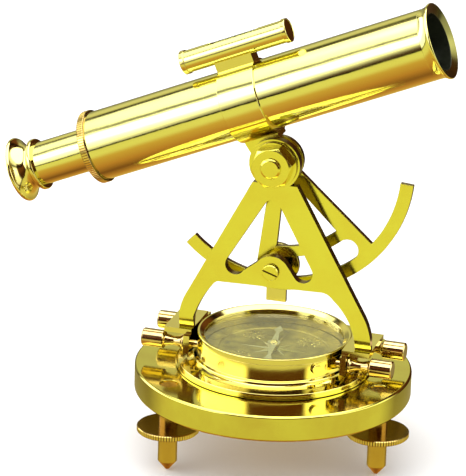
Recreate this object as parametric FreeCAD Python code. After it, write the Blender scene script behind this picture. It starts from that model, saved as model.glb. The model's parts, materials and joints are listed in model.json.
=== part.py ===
"""Brass alidade theodolite: telescope on a tilting limb, A-frame, compass and levelled base.

Z is up. The origin lies on the azimuth axis, in the plane that the three foot tips stand on.
The A-frame stands in an XZ plane, the elevation axis runs along Y, and the objective points to +X.
All sizes are in millimetres.
"""

import FreeCAD
import Part
import math
import os

V = FreeCAD.Vector
X_AXIS, Y_AXIS, Z_AXIS = V(1, 0, 0), V(0, 1, 0), V(0, 0, 1)
ORIGIN = V(0, 0, 0)

# --- heights above the standing plane ---
BASE_UNDERSIDE = 29.3
BASE_TOP = 41.5
PIVOT_HEIGHT = BASE_TOP + 99.0          # elevation axis

# --- base and levelling screws ---
BASE_RADIUS = 63.5
BASE_RIM_WALL = 5.0
BASE_PLATE = 4.6                        # thickness over the hollow underside
BASE_ROUND = 0.8
FOOT_CIRCLE_RADIUS = 54.8
BASE_TURN = 17.2                        # how far the base is turned under the upper part, degrees
FOOT_ANGLES = [-150.0 + BASE_TURN + 120.0 * i for i in range(3)]
FOOT_STUD_RADIUS = 4.4                  # below the wheel
FOOT_THREAD_RADIUS = 4.2                # through the wheel and the base
FOOT_CONE_HEIGHT = 4.2
FOOT_TIP_RADIUS = 0.9
FOOT_STUD_TOP = BASE_TOP - 0.5
FOOT_BOSS_RADIUS = 8.0
WHEEL_RADIUS = 14.2
WHEEL_BOTTOM = 18.8
WHEEL_THICKNESS = 2.6
WHEEL_KNURLS = 72
THREAD_CLEARANCE = 0.05                 # radial running clearance of every turning fit
BODY_GAP = 0.3                          # gap between faces of parts that move past each other

# --- azimuth bearing ---
CENTRE_BOSS_RADIUS = 13.0
BUSH_RADIUS = 7.5
SPINDLE_RADIUS = 5.0
SPINDLE_HEAD_RADIUS = 12.0
SPINDLE_HEAD_DEPTH = 1.6
TURNTABLE_RADIUS = 45.0
TURNTABLE_THICKNESS = 0.8
TURNTABLE_BOTTOM = BASE_TOP + BODY_GAP
TURNTABLE_TOP = TURNTABLE_BOTTOM + TURNTABLE_THICKNESS
AZIMUTH_WASHER_RADIUS = 10.0
AZIMUTH_NUT_FLATS = 16.0

# --- compass ---
BOWL_RADIUS = 35.3
BOWL_BORE = 32.2
FLANGE_RADIUS = 43.7
FLANGE_EDGE = 1.2
COVE_TOP = BASE_TOP + 4.6
BOWL_FLOOR = BASE_TOP + 5.2
DIAL_RADIUS = 31.8
DIAL_THICKNESS = 1.0
GLASS_SEAT = BASE_TOP + 11.4
GLASS_RADIUS = 33.3
GLASS_THICKNESS = 1.6
BEZEL_TOP = BASE_TOP + 15.8
NEEDLE_LENGTH = 42.0
NEEDLE_HUB_RADIUS = 3.0
NEEDLE_THICKNESS = 0.6
NEEDLE_HEIGHT = BASE_TOP + 8.9
NEEDLE_BEARING = 98.0                   # needle direction at rest, degrees from +X
BEZEL_SCREW_BEARING = -42.0

# --- A-frame ---
FRAME_FRONT = -10.0
FRAME_THICKNESS = 4.2
FRAME_BACK = FRAME_FRONT + FRAME_THICKNESS
FRAME_HEAD_RADIUS = 11.8
FRAME_BOSS_RADIUS = 10.6
FRAME_BOSS_HEIGHT = 1.6
FRAME_SHOULDER = {"left": (-9.9, BASE_TOP + 89.8), "right": (10.8, BASE_TOP + 89.9)}
LEG_BEND = {"left": (-38.9, BASE_TOP + 34.0), "right": (44.4, BASE_TOP + 31.0)}
LEG_SWEEP = {"left": (-41.6, BASE_TOP + 27.9), "right": (46.3, BASE_TOP + 26.3)}
LEG_OUTER_END = {"left": (-42.8, BASE_TOP + 21.5), "right": (47.4, BASE_TOP + 21.5)}
LEG_INNER_END = {"left": (-36.0, BASE_TOP + 21.5), "right": (39.8, BASE_TOP + 22.0)}
LEG_INNER_SWEEP = {"left": (-31.5, BASE_TOP + 31.9), "right": (35.3, BASE_TOP + 31.8)}
CROTCH_LOW = {"left": (-26.6, BASE_TOP + 39.0), "right": (29.4, BASE_TOP + 38.4)}
CROTCH_MIDDLE = {"left": (-25.2, BASE_TOP + 40.1), "right": (26.6, BASE_TOP + 40.7)}
CROTCH_HIGH = {"left": (-23.6, BASE_TOP + 40.3), "right": (22.8, BASE_TOP + 41.3)}
LEG_SCREW_RADIUS = 0.8
LEG_SCREW_GRIP = 4.6
LEG_SCREW_Y = FRAME_BACK - 1.2
LEG_FOOT = {"left": (-42.9, -36.2), "right": (40.2, 47.5)}
LEG_CHAMFER_TOP = BASE_TOP + 21.0
LEG_CHAMFER_DEPTH = 1.8
OPENING_APEX = (-0.4, BASE_TOP + 78.3)
OPENING_APEX_RADIUS = 3.9
LOBE_CENTRE = {"left": (-16.9, BASE_TOP + 49.3), "right": (14.9, BASE_TOP + 49.2)}
LOBE_RADIUS = 4.6
HUMP_TOP = (0.4, BASE_TOP + 55.5)
HUMP_SHOULDER = {"left": (-6.5, BASE_TOP + 52.0), "right": (6.9, BASE_TOP + 52.6)}
HUMP_FOOT = {"left": (-12.9, BASE_TOP + 47.0), "right": (11.2, BASE_TOP + 46.5)}

# --- foot brackets and thumbscrews ---
LEDGE_TOP = BASE_TOP + 16.6
LEDGE_THICKNESS = 2.4
LEDGE_REACH = 48.4
LEDGE_FRONT, LEDGE_BACK = -14.0, 12.0
CHEEK_FACE = 35.5
CHEEK_THICKNESS = 2.9
CHEEK_HALF_WIDTH = 17.0
CHEEK_BOTTOM = BASE_TOP + 5.8
THUMBSCREW_HEIGHT = BASE_TOP + 9.5
THUMBSCREW_OFFSET = 12.0                # each side of the Y = 0 plane
THUMBSCREW_SHANK = 1.6
THUMBSCREW_SHANK_START = 30.6
THUMBSCREW_FLARE = 4.0
THUMBSCREW_NECK = 2.2
THUMBSCREW_HEAD = 4.2
THUMBSCREW_HEAD_START = 48.6
THUMBSCREW_END = 59.0

# --- elevation pivot and clamp ---
PIVOT_BOLT_RADIUS = 4.7
PIVOT_NUT_FLATS = 17.0
PIVOT_NUT_THICKNESS = 4.6
PIVOT_BOLT_END = 1.4                    # how far the bolt stands out of the nut
PIVOT_HEAD_FLATS = 15.0
PIVOT_HEAD_THICKNESS = 4.0
CLAMP_RADIUS = 50.9                     # of the clamp screw from the elevation axis
CLAMP_HEIGHT = PIVOT_HEIGHT - CLAMP_RADIUS
CLAMP_SCREW_RADIUS = 2.8
CLAMP_HEAD_RADIUS = 3.8
CLAMP_HEAD_HEIGHT = 1.7
CLAMP_SLOT_WIDTH = 1.0
STIRRUP_HEAD_RADIUS = 9.8
STIRRUP_THICKNESS = 2.4
STIRRUP_TAIL = (-5.1, 4.2)
STIRRUP_TAIL_END = BASE_TOP + 29.8
SPACER_RADIUS = 6.2

# --- limb: graduated arc plate that turns with the telescope ---
LIMB_FRONT = -1.5
LIMB_THICKNESS = 3.0
LIMB_OUTER = 62.0
LIMB_BAND = 6.0
LIMB_HALF_SPAN = 64.4                   # degrees each side of the limb's own centre line
LIMB_LAG = 2.3                          # limb centre line behind square to the telescope
LIMB_SPOKE_ANGLE = 26.5
LIMB_SPOKE_HUB_WIDTH = 6.0
LIMB_SPOKE_RIM_WIDTH = 8.6
LIMB_HUB_RADIUS = 11.0
LIMB_INNER_RING = (41.2, 46.2)
SLOT_HALF_SPAN = 19.5
RIVET_RADIUS = 1.5
RIVET_CIRCLE = 7.6

# --- telescope, measured along its own axis from the foot of the pivot's perpendicular ---
ELEVATION = 23.2                        # degrees above level at rest
TUBE_HEIGHT = 29.6                      # telescope axis from the elevation axis
TUBE_RADIUS = 15.9
TUBE_BORE = 15.0
TUBE_START, TUBE_END = -80.5, 85.0
BELL_RADIUS = 17.3
BELL_END = 90.2
BELL_APERTURE = 12.9
LENS_RADIUS = 14.2
LENS_CLEAR_RADIUS = 12.4                # inside the flat rim that its cell holds
LENS_EDGE = 80.5
LENS_EDGE_THICKNESS = 1.3
KNURL_RING_RADIUS = 17.0
KNURL_RING = (-83.4, -80.0)
DRAW_RADIUS = 9.9
DRAW_BORE = 8.9
DRAW_START, DRAW_END = -111.0, -46.0
GUIDE_LENGTH = 6.0
BEAD_RADIUS = 12.0
BEAD = (-112.9, -110.6)
CUP_RIM_RADIUS = 15.0
CUP_THROAT_RADIUS = 9.4
CUP_END = -121.7
CUP_WALL = 1.1
EYE_BORE = 6.4
FIELD_LENS_START = -74.0
COLLAR = (-12.2, 5.8)
COLLAR_RADIUS = 16.9
SADDLE_RADIUS = 17.9
SADDLE_HALF_ANGLE = 62.0
NECK_WIDTH = 17.0
NECK_WAIST = 12.0
BRACKET_FRONT, BRACKET_BACK = -5.5, 5.5
LUG_RADIUS = 10.2

# --- spirit level ---
LEVEL_HEIGHT = 24.8                     # above the telescope axis
LEVEL_CENTRE = -1.0
LEVEL_HALF_LENGTH = 24.6
LEVEL_RADIUS = 5.1
LEVEL_BORE = 4.3
LEVEL_CAP_RADIUS = 5.55
LEVEL_CAP_LENGTH = 2.4
LEVEL_WINDOW_LENGTH = 25.0
LEVEL_WINDOW_WIDTH = 4.6
VIAL_RADIUS = 3.9
PAD_WIDTH = 8.0
PAD_SCREW_RADIUS = 1.2


# ------------------------------------------------------------------ geometry helpers

def outline(start, *moves):
    """Closed face in the XZ plane; a move is a point, or (through, end) for an arc."""
    edges = []
    here = start
    for move in list(moves) + [start]:
        through, end = move if isinstance(move[0], tuple) else (None, move)
        a, b = V(here[0], 0, here[1]), V(end[0], 0, end[1])
        if through:
            edges.append(Part.Arc(a, V(through[0], 0, through[1]), b).toShape())
        elif (b - a).Length > 1e-6:
            edges.append(Part.LineSegment(a, b).toShape())
        here = end
    return Part.Face(Part.Wire(edges))


def turned_z(*moves):
    """Solid of revolution about Z from an outline of (radius, height) points."""
    return outline(*moves).revolve(ORIGIN, Z_AXIS, 360)


def turned_x(*moves):
    """Solid of revolution about X from an outline of (position along X, radius) points."""
    return outline(*moves).revolve(ORIGIN, X_AXIS, 360)


def turned_y(*moves):
    """Solid of revolution about Y from an outline of (radius, position along Y) points."""
    solid = turned_z(*moves)
    solid.rotate(ORIGIN, X_AXIS, -90)
    return solid


def disc_y(radius, front, back, x=0.0, z=0.0):
    """Cylinder along Y between two planes."""
    return Part.makeCylinder(radius, back - front, V(x, front, z), Y_AXIS)


def pipe_x(outer, bore, start, end, height=0.0):
    """Straight tube along X."""
    shell = Part.makeCylinder(outer, end - start, V(start, 0, height), X_AXIS)
    return shell.cut(Part.makeCylinder(bore, end - start + 2, V(start - 1, 0, height), X_AXIS))


def hexagon_y(flats, front, back, x=0.0, z=0.0, turn=30.0):
    """Hexagonal prism along Y with chamfered corners at its front."""
    corner = flats / math.sqrt(3)
    points = [V(x + corner * math.cos(math.radians(turn + 60 * i)), front,
                z + corner * math.sin(math.radians(turn + 60 * i))) for i in range(7)]
    prism = Part.Face(Part.makePolygon(points)).extrude(V(0, back - front, 0))
    chamfer = 0.9
    cone = Part.makeCone(flats / 2 - 0.1, flats / 2 + chamfer * 2.2, chamfer * 1.5, V(x, front, z), Y_AXIS)
    rest = disc_y(corner + 1, front + chamfer * 1.5, back, x, z)
    return prism.common(cone.fuse(rest))


def plate_y(face, front, back):
    """Extrude a face of the XZ plane into a plate between two Y planes."""
    solid = face.extrude(V(0, back - front, 0))
    solid.translate(V(0, front, 0))
    return solid


def box(x0, x1, y0, y1, z0, z1):
    """Box between opposite corners, given in any order along X."""
    return Part.makeBox(abs(x1 - x0), y1 - y0, z1 - z0, V(min(x0, x1), y0, z0))


def polar(radius, degrees):
    """Point of the XZ plane at an angle from +X, about the origin."""
    return (radius * math.cos(math.radians(degrees)), radius * math.sin(math.radians(degrees)))


def knurled_disc(radius, bore, thickness, grooves, depth=0.35):
    """Ring about Z with a straight-knurled edge cut by V grooves and chamfered edges."""
    edge = 0.4
    ring = turned_z((bore, 0.0), (radius - edge, 0.0), (radius, edge), (radius, thickness - edge),
                    (radius - edge, thickness), (bore, thickness))
    half = math.pi * radius / grooves * 0.55
    tool = Part.Face(Part.makePolygon([V(radius - depth, 0, -1), V(radius + 0.5, half * 1.6, -1),
                                       V(radius + 0.5, -half * 1.6, -1), V(radius - depth, 0, -1)]))
    tool = tool.extrude(V(0, 0, thickness + 2))
    cuts = []
    for i in range(grooves):
        groove = tool.copy()
        groove.rotate(ORIGIN, Z_AXIS, 360.0 * i / grooves)
        cuts.append(groove)
    return ring.cut(Part.makeCompound(cuts))


def circle_tangent(centre_a, radius_a, centre_b, radius_b):
    """Contact points of the outer common tangent on the right of a line going down from a to b."""
    dx, dz = centre_b[0] - centre_a[0], centre_b[1] - centre_a[1]
    length = math.hypot(dx, dz)
    lean = math.atan2(dz, dx) + math.acos((radius_a - radius_b) / length)
    nx, nz = math.cos(lean), math.sin(lean)
    return ((centre_a[0] + radius_a * nx, centre_a[1] + radius_a * nz),
            (centre_b[0] + radius_b * nx, centre_b[1] + radius_b * nz))


def mirrored(point):
    """The same point on the other side of X = 0."""
    return (-point[0], point[1])


def tilted(solid):
    """Place a solid modelled about the elevation axis, telescope level, at its rest elevation."""
    placed = solid.copy()
    placed.rotate(ORIGIN, Y_AXIS, -ELEVATION)
    placed.translate(V(0, 0, PIVOT_HEIGHT))
    return placed


def on_tube(solid):
    """Place a solid modelled about the telescope's own axis."""
    lifted = solid.copy()
    lifted.translate(V(0, 0, TUBE_HEIGHT))
    return tilted(lifted)


# ------------------------------------------------------------------ base

def base_disc():
    """Thick round base, hollow underneath, with bosses for the screws and the spindle."""
    body = turned_z((0.0, BASE_UNDERSIDE), (BASE_RADIUS - BASE_ROUND, BASE_UNDERSIDE),
                    (BASE_RADIUS, BASE_UNDERSIDE + BASE_ROUND), (BASE_RADIUS, BASE_TOP - BASE_ROUND),
                    (BASE_RADIUS - BASE_ROUND, BASE_TOP), (0.0, BASE_TOP))
    depth = BASE_TOP - BASE_UNDERSIDE - BASE_PLATE
    hollow = Part.makeCylinder(BASE_RADIUS - BASE_RIM_WALL, depth, V(0, 0, BASE_UNDERSIDE))
    hollow = hollow.cut(Part.makeCylinder(CENTRE_BOSS_RADIUS, depth, V(0, 0, BASE_UNDERSIDE)))
    for angle in FOOT_ANGLES:
        x, y = polar(FOOT_CIRCLE_RADIUS, angle)
        hollow = hollow.cut(Part.makeCylinder(FOOT_BOSS_RADIUS, depth, V(x, y, BASE_UNDERSIDE)))
    body = body.cut(hollow)
    for angle in FOOT_ANGLES:
        x, y = polar(FOOT_CIRCLE_RADIUS, angle)
        body = body.cut(Part.makeCylinder(FOOT_THREAD_RADIUS + THREAD_CLEARANCE, 40,
                                          V(x, y, BASE_UNDERSIDE - 10)))
    return body.cut(Part.makeCylinder(BUSH_RADIUS, 40, V(0, 0, BASE_UNDERSIDE - 10)))


def levelling_stud(x, y):
    """Stud of a levelling screw: a coned tip that stands on the table, and a shoulder under the wheel."""
    shoulder = WHEEL_BOTTOM - BODY_GAP
    stud = turned_z((0.0, 0.0), (FOOT_TIP_RADIUS, 0.0), (FOOT_STUD_RADIUS, FOOT_CONE_HEIGHT),
                    (FOOT_STUD_RADIUS, shoulder), (FOOT_THREAD_RADIUS, shoulder),
                    (FOOT_THREAD_RADIUS, FOOT_STUD_TOP - 0.6), (FOOT_THREAD_RADIUS - 0.6, FOOT_STUD_TOP),
                    (0.0, FOOT_STUD_TOP))
    stud.translate(V(x, y, 0))
    return stud


def levelling_wheel(x, y):
    """Thin knurled wheel on a levelling stud."""
    wheel = knurled_disc(WHEEL_RADIUS, FOOT_THREAD_RADIUS + THREAD_CLEARANCE, WHEEL_THICKNESS, WHEEL_KNURLS)
    wheel.translate(V(x, y, WHEEL_BOTTOM))
    return wheel


def azimuth_bush():
    """Bush pressed into the base, in which the spindle turns."""
    bore = SPINDLE_RADIUS + THREAD_CLEARANCE
    return turned_z((bore, BASE_UNDERSIDE), (BUSH_RADIUS, BASE_UNDERSIDE), (BUSH_RADIUS, BASE_TOP),
                    (bore, BASE_TOP))


def azimuth_spindle():
    """Spindle with a flat head let into the turntable."""
    tail = BASE_UNDERSIDE - 7.0
    return turned_z((0.0, tail), (SPINDLE_RADIUS - 0.6, tail), (SPINDLE_RADIUS, tail + 0.6),
                    (SPINDLE_RADIUS, TURNTABLE_TOP), (SPINDLE_HEAD_RADIUS, TURNTABLE_TOP),
                    (SPINDLE_HEAD_RADIUS, TURNTABLE_TOP + SPINDLE_HEAD_DEPTH),
                    (0.0, TURNTABLE_TOP + SPINDLE_HEAD_DEPTH))


def azimuth_washer():
    """Washer under the base."""
    top = BASE_UNDERSIDE - BODY_GAP
    return turned_z((SPINDLE_RADIUS, top - 1.2), (AZIMUTH_WASHER_RADIUS, top - 1.2),
                    (AZIMUTH_WASHER_RADIUS, top), (SPINDLE_RADIUS, top))


def azimuth_nut():
    """Hexagonal nut that holds the spindle."""
    top = BASE_UNDERSIDE - BODY_GAP - 1.2
    nut = hexagon_y(AZIMUTH_NUT_FLATS, 0.0, 4.4)
    nut.rotate(ORIGIN, X_AXIS, 90)
    nut.translate(V(0, 0, top - 4.4))
    return nut.cut(Part.makeCylinder(SPINDLE_RADIUS, 30, V(0, 0, top - 20)))


# ------------------------------------------------------------------ compass

def turntable_plate():
    """Thin round plate that carries the compass over the base."""
    plate = Part.makeCylinder(TURNTABLE_RADIUS, TURNTABLE_THICKNESS, V(0, 0, TURNTABLE_BOTTOM))
    return plate.cut(Part.makeCylinder(SPINDLE_RADIUS, 5, V(0, 0, TURNTABLE_BOTTOM - 2)))


def compass_bowl():
    """Compass bowl with an upright wall, a cove and a spreading flange."""
    edge = TURNTABLE_TOP + FLANGE_EDGE
    bead = BOWL_RADIUS + 1.2
    bowl = turned_z((0.0, TURNTABLE_TOP), (FLANGE_RADIUS, TURNTABLE_TOP), (FLANGE_RADIUS, edge),
                    ((bead + 2.0, edge + 0.7), (bead, COVE_TOP - 0.5)),
                    ((bead + 0.35, COVE_TOP), (bead, COVE_TOP + 0.5)),
                    (BOWL_RADIUS, COVE_TOP + 0.8), (BOWL_RADIUS, GLASS_SEAT + GLASS_THICKNESS),
                    (GLASS_RADIUS, GLASS_SEAT + GLASS_THICKNESS), (GLASS_RADIUS, GLASS_SEAT),
                    (BOWL_BORE, GLASS_SEAT), (BOWL_BORE, BOWL_FLOOR), (0.0, BOWL_FLOOR))
    bowl = bowl.cut(Part.makeCylinder(SPINDLE_HEAD_RADIUS, SPINDLE_HEAD_DEPTH, V(0, 0, TURNTABLE_TOP)))
    for side in (-1, 1):
        for y in (-THUMBSCREW_OFFSET, THUMBSCREW_OFFSET):
            hole = Part.makeCylinder(THUMBSCREW_SHANK + THREAD_CLEARANCE, 12,
                                     V(side * 28.0, y, THUMBSCREW_HEIGHT), V(side, 0, 0))
            bowl = bowl.cut(hole)
    return bowl.cut(bezel_screw_blank(0.0))


def bezel_ring():
    """Bevelled ring that holds the glass down."""
    bottom = GLASS_SEAT + GLASS_THICKNESS
    return turned_z((BOWL_BORE - 0.2, bottom), (BOWL_RADIUS, bottom), (BOWL_RADIUS, BEZEL_TOP - 0.5),
                    (BOWL_RADIUS - 0.5, BEZEL_TOP), (BOWL_RADIUS - 1.1, BEZEL_TOP),
                    (BOWL_BORE - 0.2, bottom + 1.2))


def compass_glass():
    """Flat glass on its seat in the bowl."""
    return Part.makeCylinder(GLASS_RADIUS, GLASS_THICKNESS, V(0, 0, GLASS_SEAT))


def compass_dial():
    """Dial disc with a raised chapter ring."""
    top = BOWL_FLOOR + DIAL_THICKNESS
    dial = turned_z((1.0, BOWL_FLOOR), (DIAL_RADIUS, BOWL_FLOOR), (DIAL_RADIUS, top + 0.5),
                    (25.4, top + 0.5),
                    (24.9, top), (1.0, top))
    return dial


def compass_pivot():
    """Pointed pin on which the needle balances."""
    shoulder = NEEDLE_HEIGHT - 1.2
    return turned_z((0.0, BOWL_FLOOR), (1.0, BOWL_FLOOR), (1.0, shoulder), (0.25, shoulder + 1.7),
                    (0.0, shoulder + 1.7))


def needle_blade():
    """Lozenge needle with a spade tip and a ringed tail, pierced for its cap."""
    half = NEEDLE_LENGTH / 2
    blade = Part.Face(Part.makePolygon([V(half, 0, 0), V(half - 5.5, 2.2, 0), V(half - 8.0, 0.8, 0),
                                        V(0, 1.7, 0), V(-half + 6, 0.8, 0), V(-half, 1.9, 0),
                                        V(-half, -1.9, 0), V(-half + 6, -0.8, 0), V(0, -1.7, 0),
                                        V(half - 8.0, -0.8, 0), V(half - 5.5, -2.2, 0), V(half, 0, 0)]))
    blade = blade.extrude(V(0, 0, NEEDLE_THICKNESS))
    blade = blade.fuse(Part.makeCylinder(NEEDLE_HUB_RADIUS, NEEDLE_THICKNESS))
    blade = blade.cut(Part.makeCylinder(1.9, 3, V(0, 0, -1)))
    blade.rotate(ORIGIN, Z_AXIS, NEEDLE_BEARING)
    blade.translate(V(0, 0, NEEDLE_HEIGHT))
    return blade.removeSplitter()


def needle_cap():
    """Turned cap in the needle's middle, hollow over the pin's point."""
    low, high = NEEDLE_HEIGHT - 0.5, NEEDLE_HEIGHT + 1.6
    return turned_z((1.35, low), (1.9, low), (1.9, NEEDLE_HEIGHT + NEEDLE_THICKNESS), (1.5, high - 0.4),
                    (0.9, high), (0.0, high), (0.0, high - 0.7), (0.6, high - 0.7))


def bezel_screw_blank(stand_out):
    """Round-headed screw in the bowl's wall, facing outwards at its bearing."""
    shank = Part.makeCylinder(1.3, 3.6, V(BOWL_RADIUS - 3.0, 0, 0), X_AXIS)
    if stand_out:
        shank = shank.fuse(Part.makeCylinder(2.3, stand_out, V(BOWL_RADIUS + 0.05, 0, 0), X_AXIS))
    shank.rotate(ORIGIN, Z_AXIS, BEZEL_SCREW_BEARING)
    shank.translate(V(0, 0, BASE_TOP + 10.0))
    return shank


def bezel_screw():
    """The needle-lock screw as fitted."""
    return bezel_screw_blank(1.3)


# ------------------------------------------------------------------ A-frame

def frame_silhouette():
    """Outer shape of the A-frame, from the standing feet to under the round head."""
    foot = LEDGE_TOP
    (left_out, left_in), (right_in, right_out) = LEG_FOOT["left"], LEG_FOOT["right"]
    return outline(FRAME_SHOULDER["left"], FRAME_SHOULDER["right"], LEG_BEND["right"],
                   (LEG_SWEEP["right"], LEG_OUTER_END["right"]), (right_out, foot), (right_in, foot),
                   LEG_INNER_END["right"], (LEG_INNER_SWEEP["right"], CROTCH_LOW["right"]),
                   (CROTCH_MIDDLE["right"], CROTCH_HIGH["right"]), CROTCH_HIGH["left"],
                   (CROTCH_MIDDLE["left"], CROTCH_LOW["left"]),
                   (LEG_INNER_SWEEP["left"], LEG_INNER_END["left"]), (left_in, foot), (left_out, foot),
                   LEG_OUTER_END["left"], (LEG_SWEEP["left"], LEG_BEND["left"]))


def frame_opening():
    """Tall opening with two round lobes beside the hump that carries the clamp screw."""
    top, side = circle_tangent(OPENING_APEX, OPENING_APEX_RADIUS, LOBE_CENTRE["right"], LOBE_RADIUS)
    far_top, far_side = circle_tangent(mirrored(OPENING_APEX), OPENING_APEX_RADIUS,
                                       mirrored(LOBE_CENTRE["left"]), LOBE_RADIUS)
    crown = (OPENING_APEX[0], OPENING_APEX[1] + OPENING_APEX_RADIUS)
    low, far_low = [(x, z - LOBE_RADIUS) for x, z in (LOBE_CENTRE["right"], LOBE_CENTRE["left"])]
    return outline(mirrored(far_top), (crown, top), side, (low, HUMP_FOOT["right"]), HUMP_SHOULDER["right"],
                   (HUMP_TOP, HUMP_SHOULDER["left"]), HUMP_FOOT["left"], (far_low, mirrored(far_side)))


def leg_chamfer():
    """Wedge that bevels the front of both legs above the ledges."""
    reach = 60.0
    wedge = Part.Face(Part.makePolygon([V(-reach, FRAME_FRONT - 1, LEG_CHAMFER_TOP + 2.0),
                                        V(-reach, FRAME_FRONT, LEG_CHAMFER_TOP),
                                        V(-reach, FRAME_FRONT + LEG_CHAMFER_DEPTH, LEDGE_TOP),
                                        V(-reach, FRAME_FRONT - 1, LEDGE_TOP),
                                        V(-reach, FRAME_FRONT - 1, LEG_CHAMFER_TOP + 2.0)]))
    return wedge.extrude(V(2 * reach, 0, 0))


def leg_screw_x(side):
    """Middle of a leg's foot, where its screw enters."""
    return sum(LEG_FOOT[side]) / 2


def a_frame():
    """Flat A-frame with its round head, raised boss and clamp hump."""
    frame = plate_y(frame_silhouette(), FRAME_FRONT, FRAME_BACK)
    frame = frame.fuse(disc_y(FRAME_HEAD_RADIUS, FRAME_FRONT, FRAME_BACK, 0, PIVOT_HEIGHT))
    frame = frame.fuse(disc_y(FRAME_BOSS_RADIUS, FRAME_FRONT - FRAME_BOSS_HEIGHT, FRAME_FRONT,
                              0, PIVOT_HEIGHT))
    frame = frame.cut(plate_y(frame_opening(), FRAME_FRONT - 1, FRAME_BACK + 1))
    frame = frame.cut(leg_chamfer())
    frame = frame.cut(disc_y(PIVOT_BOLT_RADIUS, -30, 30, 0, PIVOT_HEIGHT))
    frame = frame.cut(disc_y(CLAMP_SCREW_RADIUS + THREAD_CLEARANCE, -30, 30, 0, CLAMP_HEIGHT))
    for side in ("left", "right"):
        frame = frame.cut(Part.makeCylinder(LEG_SCREW_RADIUS, LEG_SCREW_GRIP + 0.4,
                                            V(leg_screw_x(side), LEG_SCREW_Y, LEDGE_TOP)))
    return frame.removeSplitter()


def foot_bracket(name, side):
    """Angle bracket: a ledge under the leg and a cheek beside the compass bowl."""
    inner, reach = side * CHEEK_FACE, side * LEDGE_REACH
    ledge = box(inner, reach, LEDGE_FRONT, LEDGE_BACK, LEDGE_TOP - LEDGE_THICKNESS, LEDGE_TOP)
    cheek = box(inner, side * (CHEEK_FACE + CHEEK_THICKNESS), -CHEEK_HALF_WIDTH, CHEEK_HALF_WIDTH,
                CHEEK_BOTTOM, LEDGE_TOP - LEDGE_THICKNESS + 0.2)
    bracket = ledge.fuse(cheek)
    for y in (-THUMBSCREW_OFFSET, THUMBSCREW_OFFSET):
        bracket = bracket.cut(Part.makeCylinder(THUMBSCREW_SHANK + THREAD_CLEARANCE, 12,
                                                V(side * 32.0, y, THUMBSCREW_HEIGHT), V(side, 0, 0)))
    hole = Part.makeCylinder(LEG_SCREW_RADIUS, 6, V(leg_screw_x(name), LEG_SCREW_Y, LEDGE_TOP - 4))
    return bracket.cut(hole).removeSplitter()


def leg_screw(name):
    """Screw from under the ledge into the leg."""
    return Part.makeCylinder(LEG_SCREW_RADIUS, LEDGE_THICKNESS + LEG_SCREW_GRIP,
                             V(leg_screw_x(name), LEG_SCREW_Y, LEDGE_TOP - LEDGE_THICKNESS))


def thumbscrew(side, y):
    """Thumbscrew with a flared seat, a slim neck and a plain round head."""
    seat = CHEEK_FACE + CHEEK_THICKNESS + BODY_GAP
    waist = THUMBSCREW_HEAD_START - 3.4
    solid = turned_x((THUMBSCREW_SHANK_START, 0.0), (THUMBSCREW_SHANK_START, THUMBSCREW_SHANK),
                     (seat, THUMBSCREW_SHANK), (seat, THUMBSCREW_FLARE), (seat + 0.7, THUMBSCREW_FLARE),
                     ((seat + 2.6, THUMBSCREW_NECK + 0.5), (waist, THUMBSCREW_NECK)),
                     (THUMBSCREW_HEAD_START - 0.7, THUMBSCREW_NECK + 0.7),
                     (THUMBSCREW_HEAD_START, THUMBSCREW_HEAD - 0.4),
                     (THUMBSCREW_HEAD_START + 0.4, THUMBSCREW_HEAD), (THUMBSCREW_END - 0.5, THUMBSCREW_HEAD),
                     (THUMBSCREW_END, THUMBSCREW_HEAD - 0.5), (THUMBSCREW_END, 0.0))
    if side < 0:
        solid.rotate(ORIGIN, Z_AXIS, 180)
    solid.translate(V(0, y, THUMBSCREW_HEIGHT))
    return solid


# ------------------------------------------------------------------ elevation pivot and clamp

def pivot_bolt():
    """Bolt of the elevation axis, with its head behind the limb and its end through the nut."""
    head = LIMB_FRONT + LIMB_THICKNESS + BODY_GAP
    nut_face = FRAME_FRONT - FRAME_BOSS_HEIGHT - PIVOT_NUT_THICKNESS
    tip = nut_face - PIVOT_BOLT_END
    bolt = turned_y((0.0, tip), (PIVOT_BOLT_RADIUS - 0.9, tip), (PIVOT_BOLT_RADIUS, tip + 0.6),
                    (PIVOT_BOLT_RADIUS, head), (0.0, head))
    bolt.translate(V(0, 0, PIVOT_HEIGHT))
    hexagon = hexagon_y(PIVOT_HEAD_FLATS, 0.0, PIVOT_HEAD_THICKNESS)
    hexagon.rotate(ORIGIN, Z_AXIS, 180)
    hexagon.translate(V(0, head + PIVOT_HEAD_THICKNESS, PIVOT_HEIGHT))
    return bolt.fuse(hexagon).removeSplitter()


def pivot_nut():
    """Hexagonal nut on the boss of the A-frame."""
    back = FRAME_FRONT - FRAME_BOSS_HEIGHT
    nut = hexagon_y(PIVOT_NUT_FLATS, back - PIVOT_NUT_THICKNESS, back, 0, PIVOT_HEIGHT, 12.0)
    return nut.cut(disc_y(PIVOT_BOLT_RADIUS, -40, 20, 0, PIVOT_HEIGHT))


def clamp_screw():
    """Slotted screw through the hump and the limb's slot into the stirrup."""
    front = FRAME_FRONT - CLAMP_HEAD_HEIGHT - 0.1
    end = LIMB_FRONT + LIMB_THICKNESS + BODY_GAP + STIRRUP_THICKNESS + 1.4
    screw = turned_y((0.0, front), (CLAMP_HEAD_RADIUS - 0.4, front), (CLAMP_HEAD_RADIUS, front + 0.5),
                     (CLAMP_HEAD_RADIUS, FRAME_FRONT - 0.1), (CLAMP_SCREW_RADIUS, FRAME_FRONT - 0.1),
                     (CLAMP_SCREW_RADIUS, end - 0.4), (CLAMP_SCREW_RADIUS - 0.4, end), (0.0, end))
    slot = box(-6, 6, front - 1, front + 0.9, -CLAMP_SLOT_WIDTH / 2, CLAMP_SLOT_WIDTH / 2)
    slot.rotate(ORIGIN, Y_AXIS, 18)
    screw = screw.cut(slot)
    screw.translate(V(0, 0, CLAMP_HEIGHT))
    return screw


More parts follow.
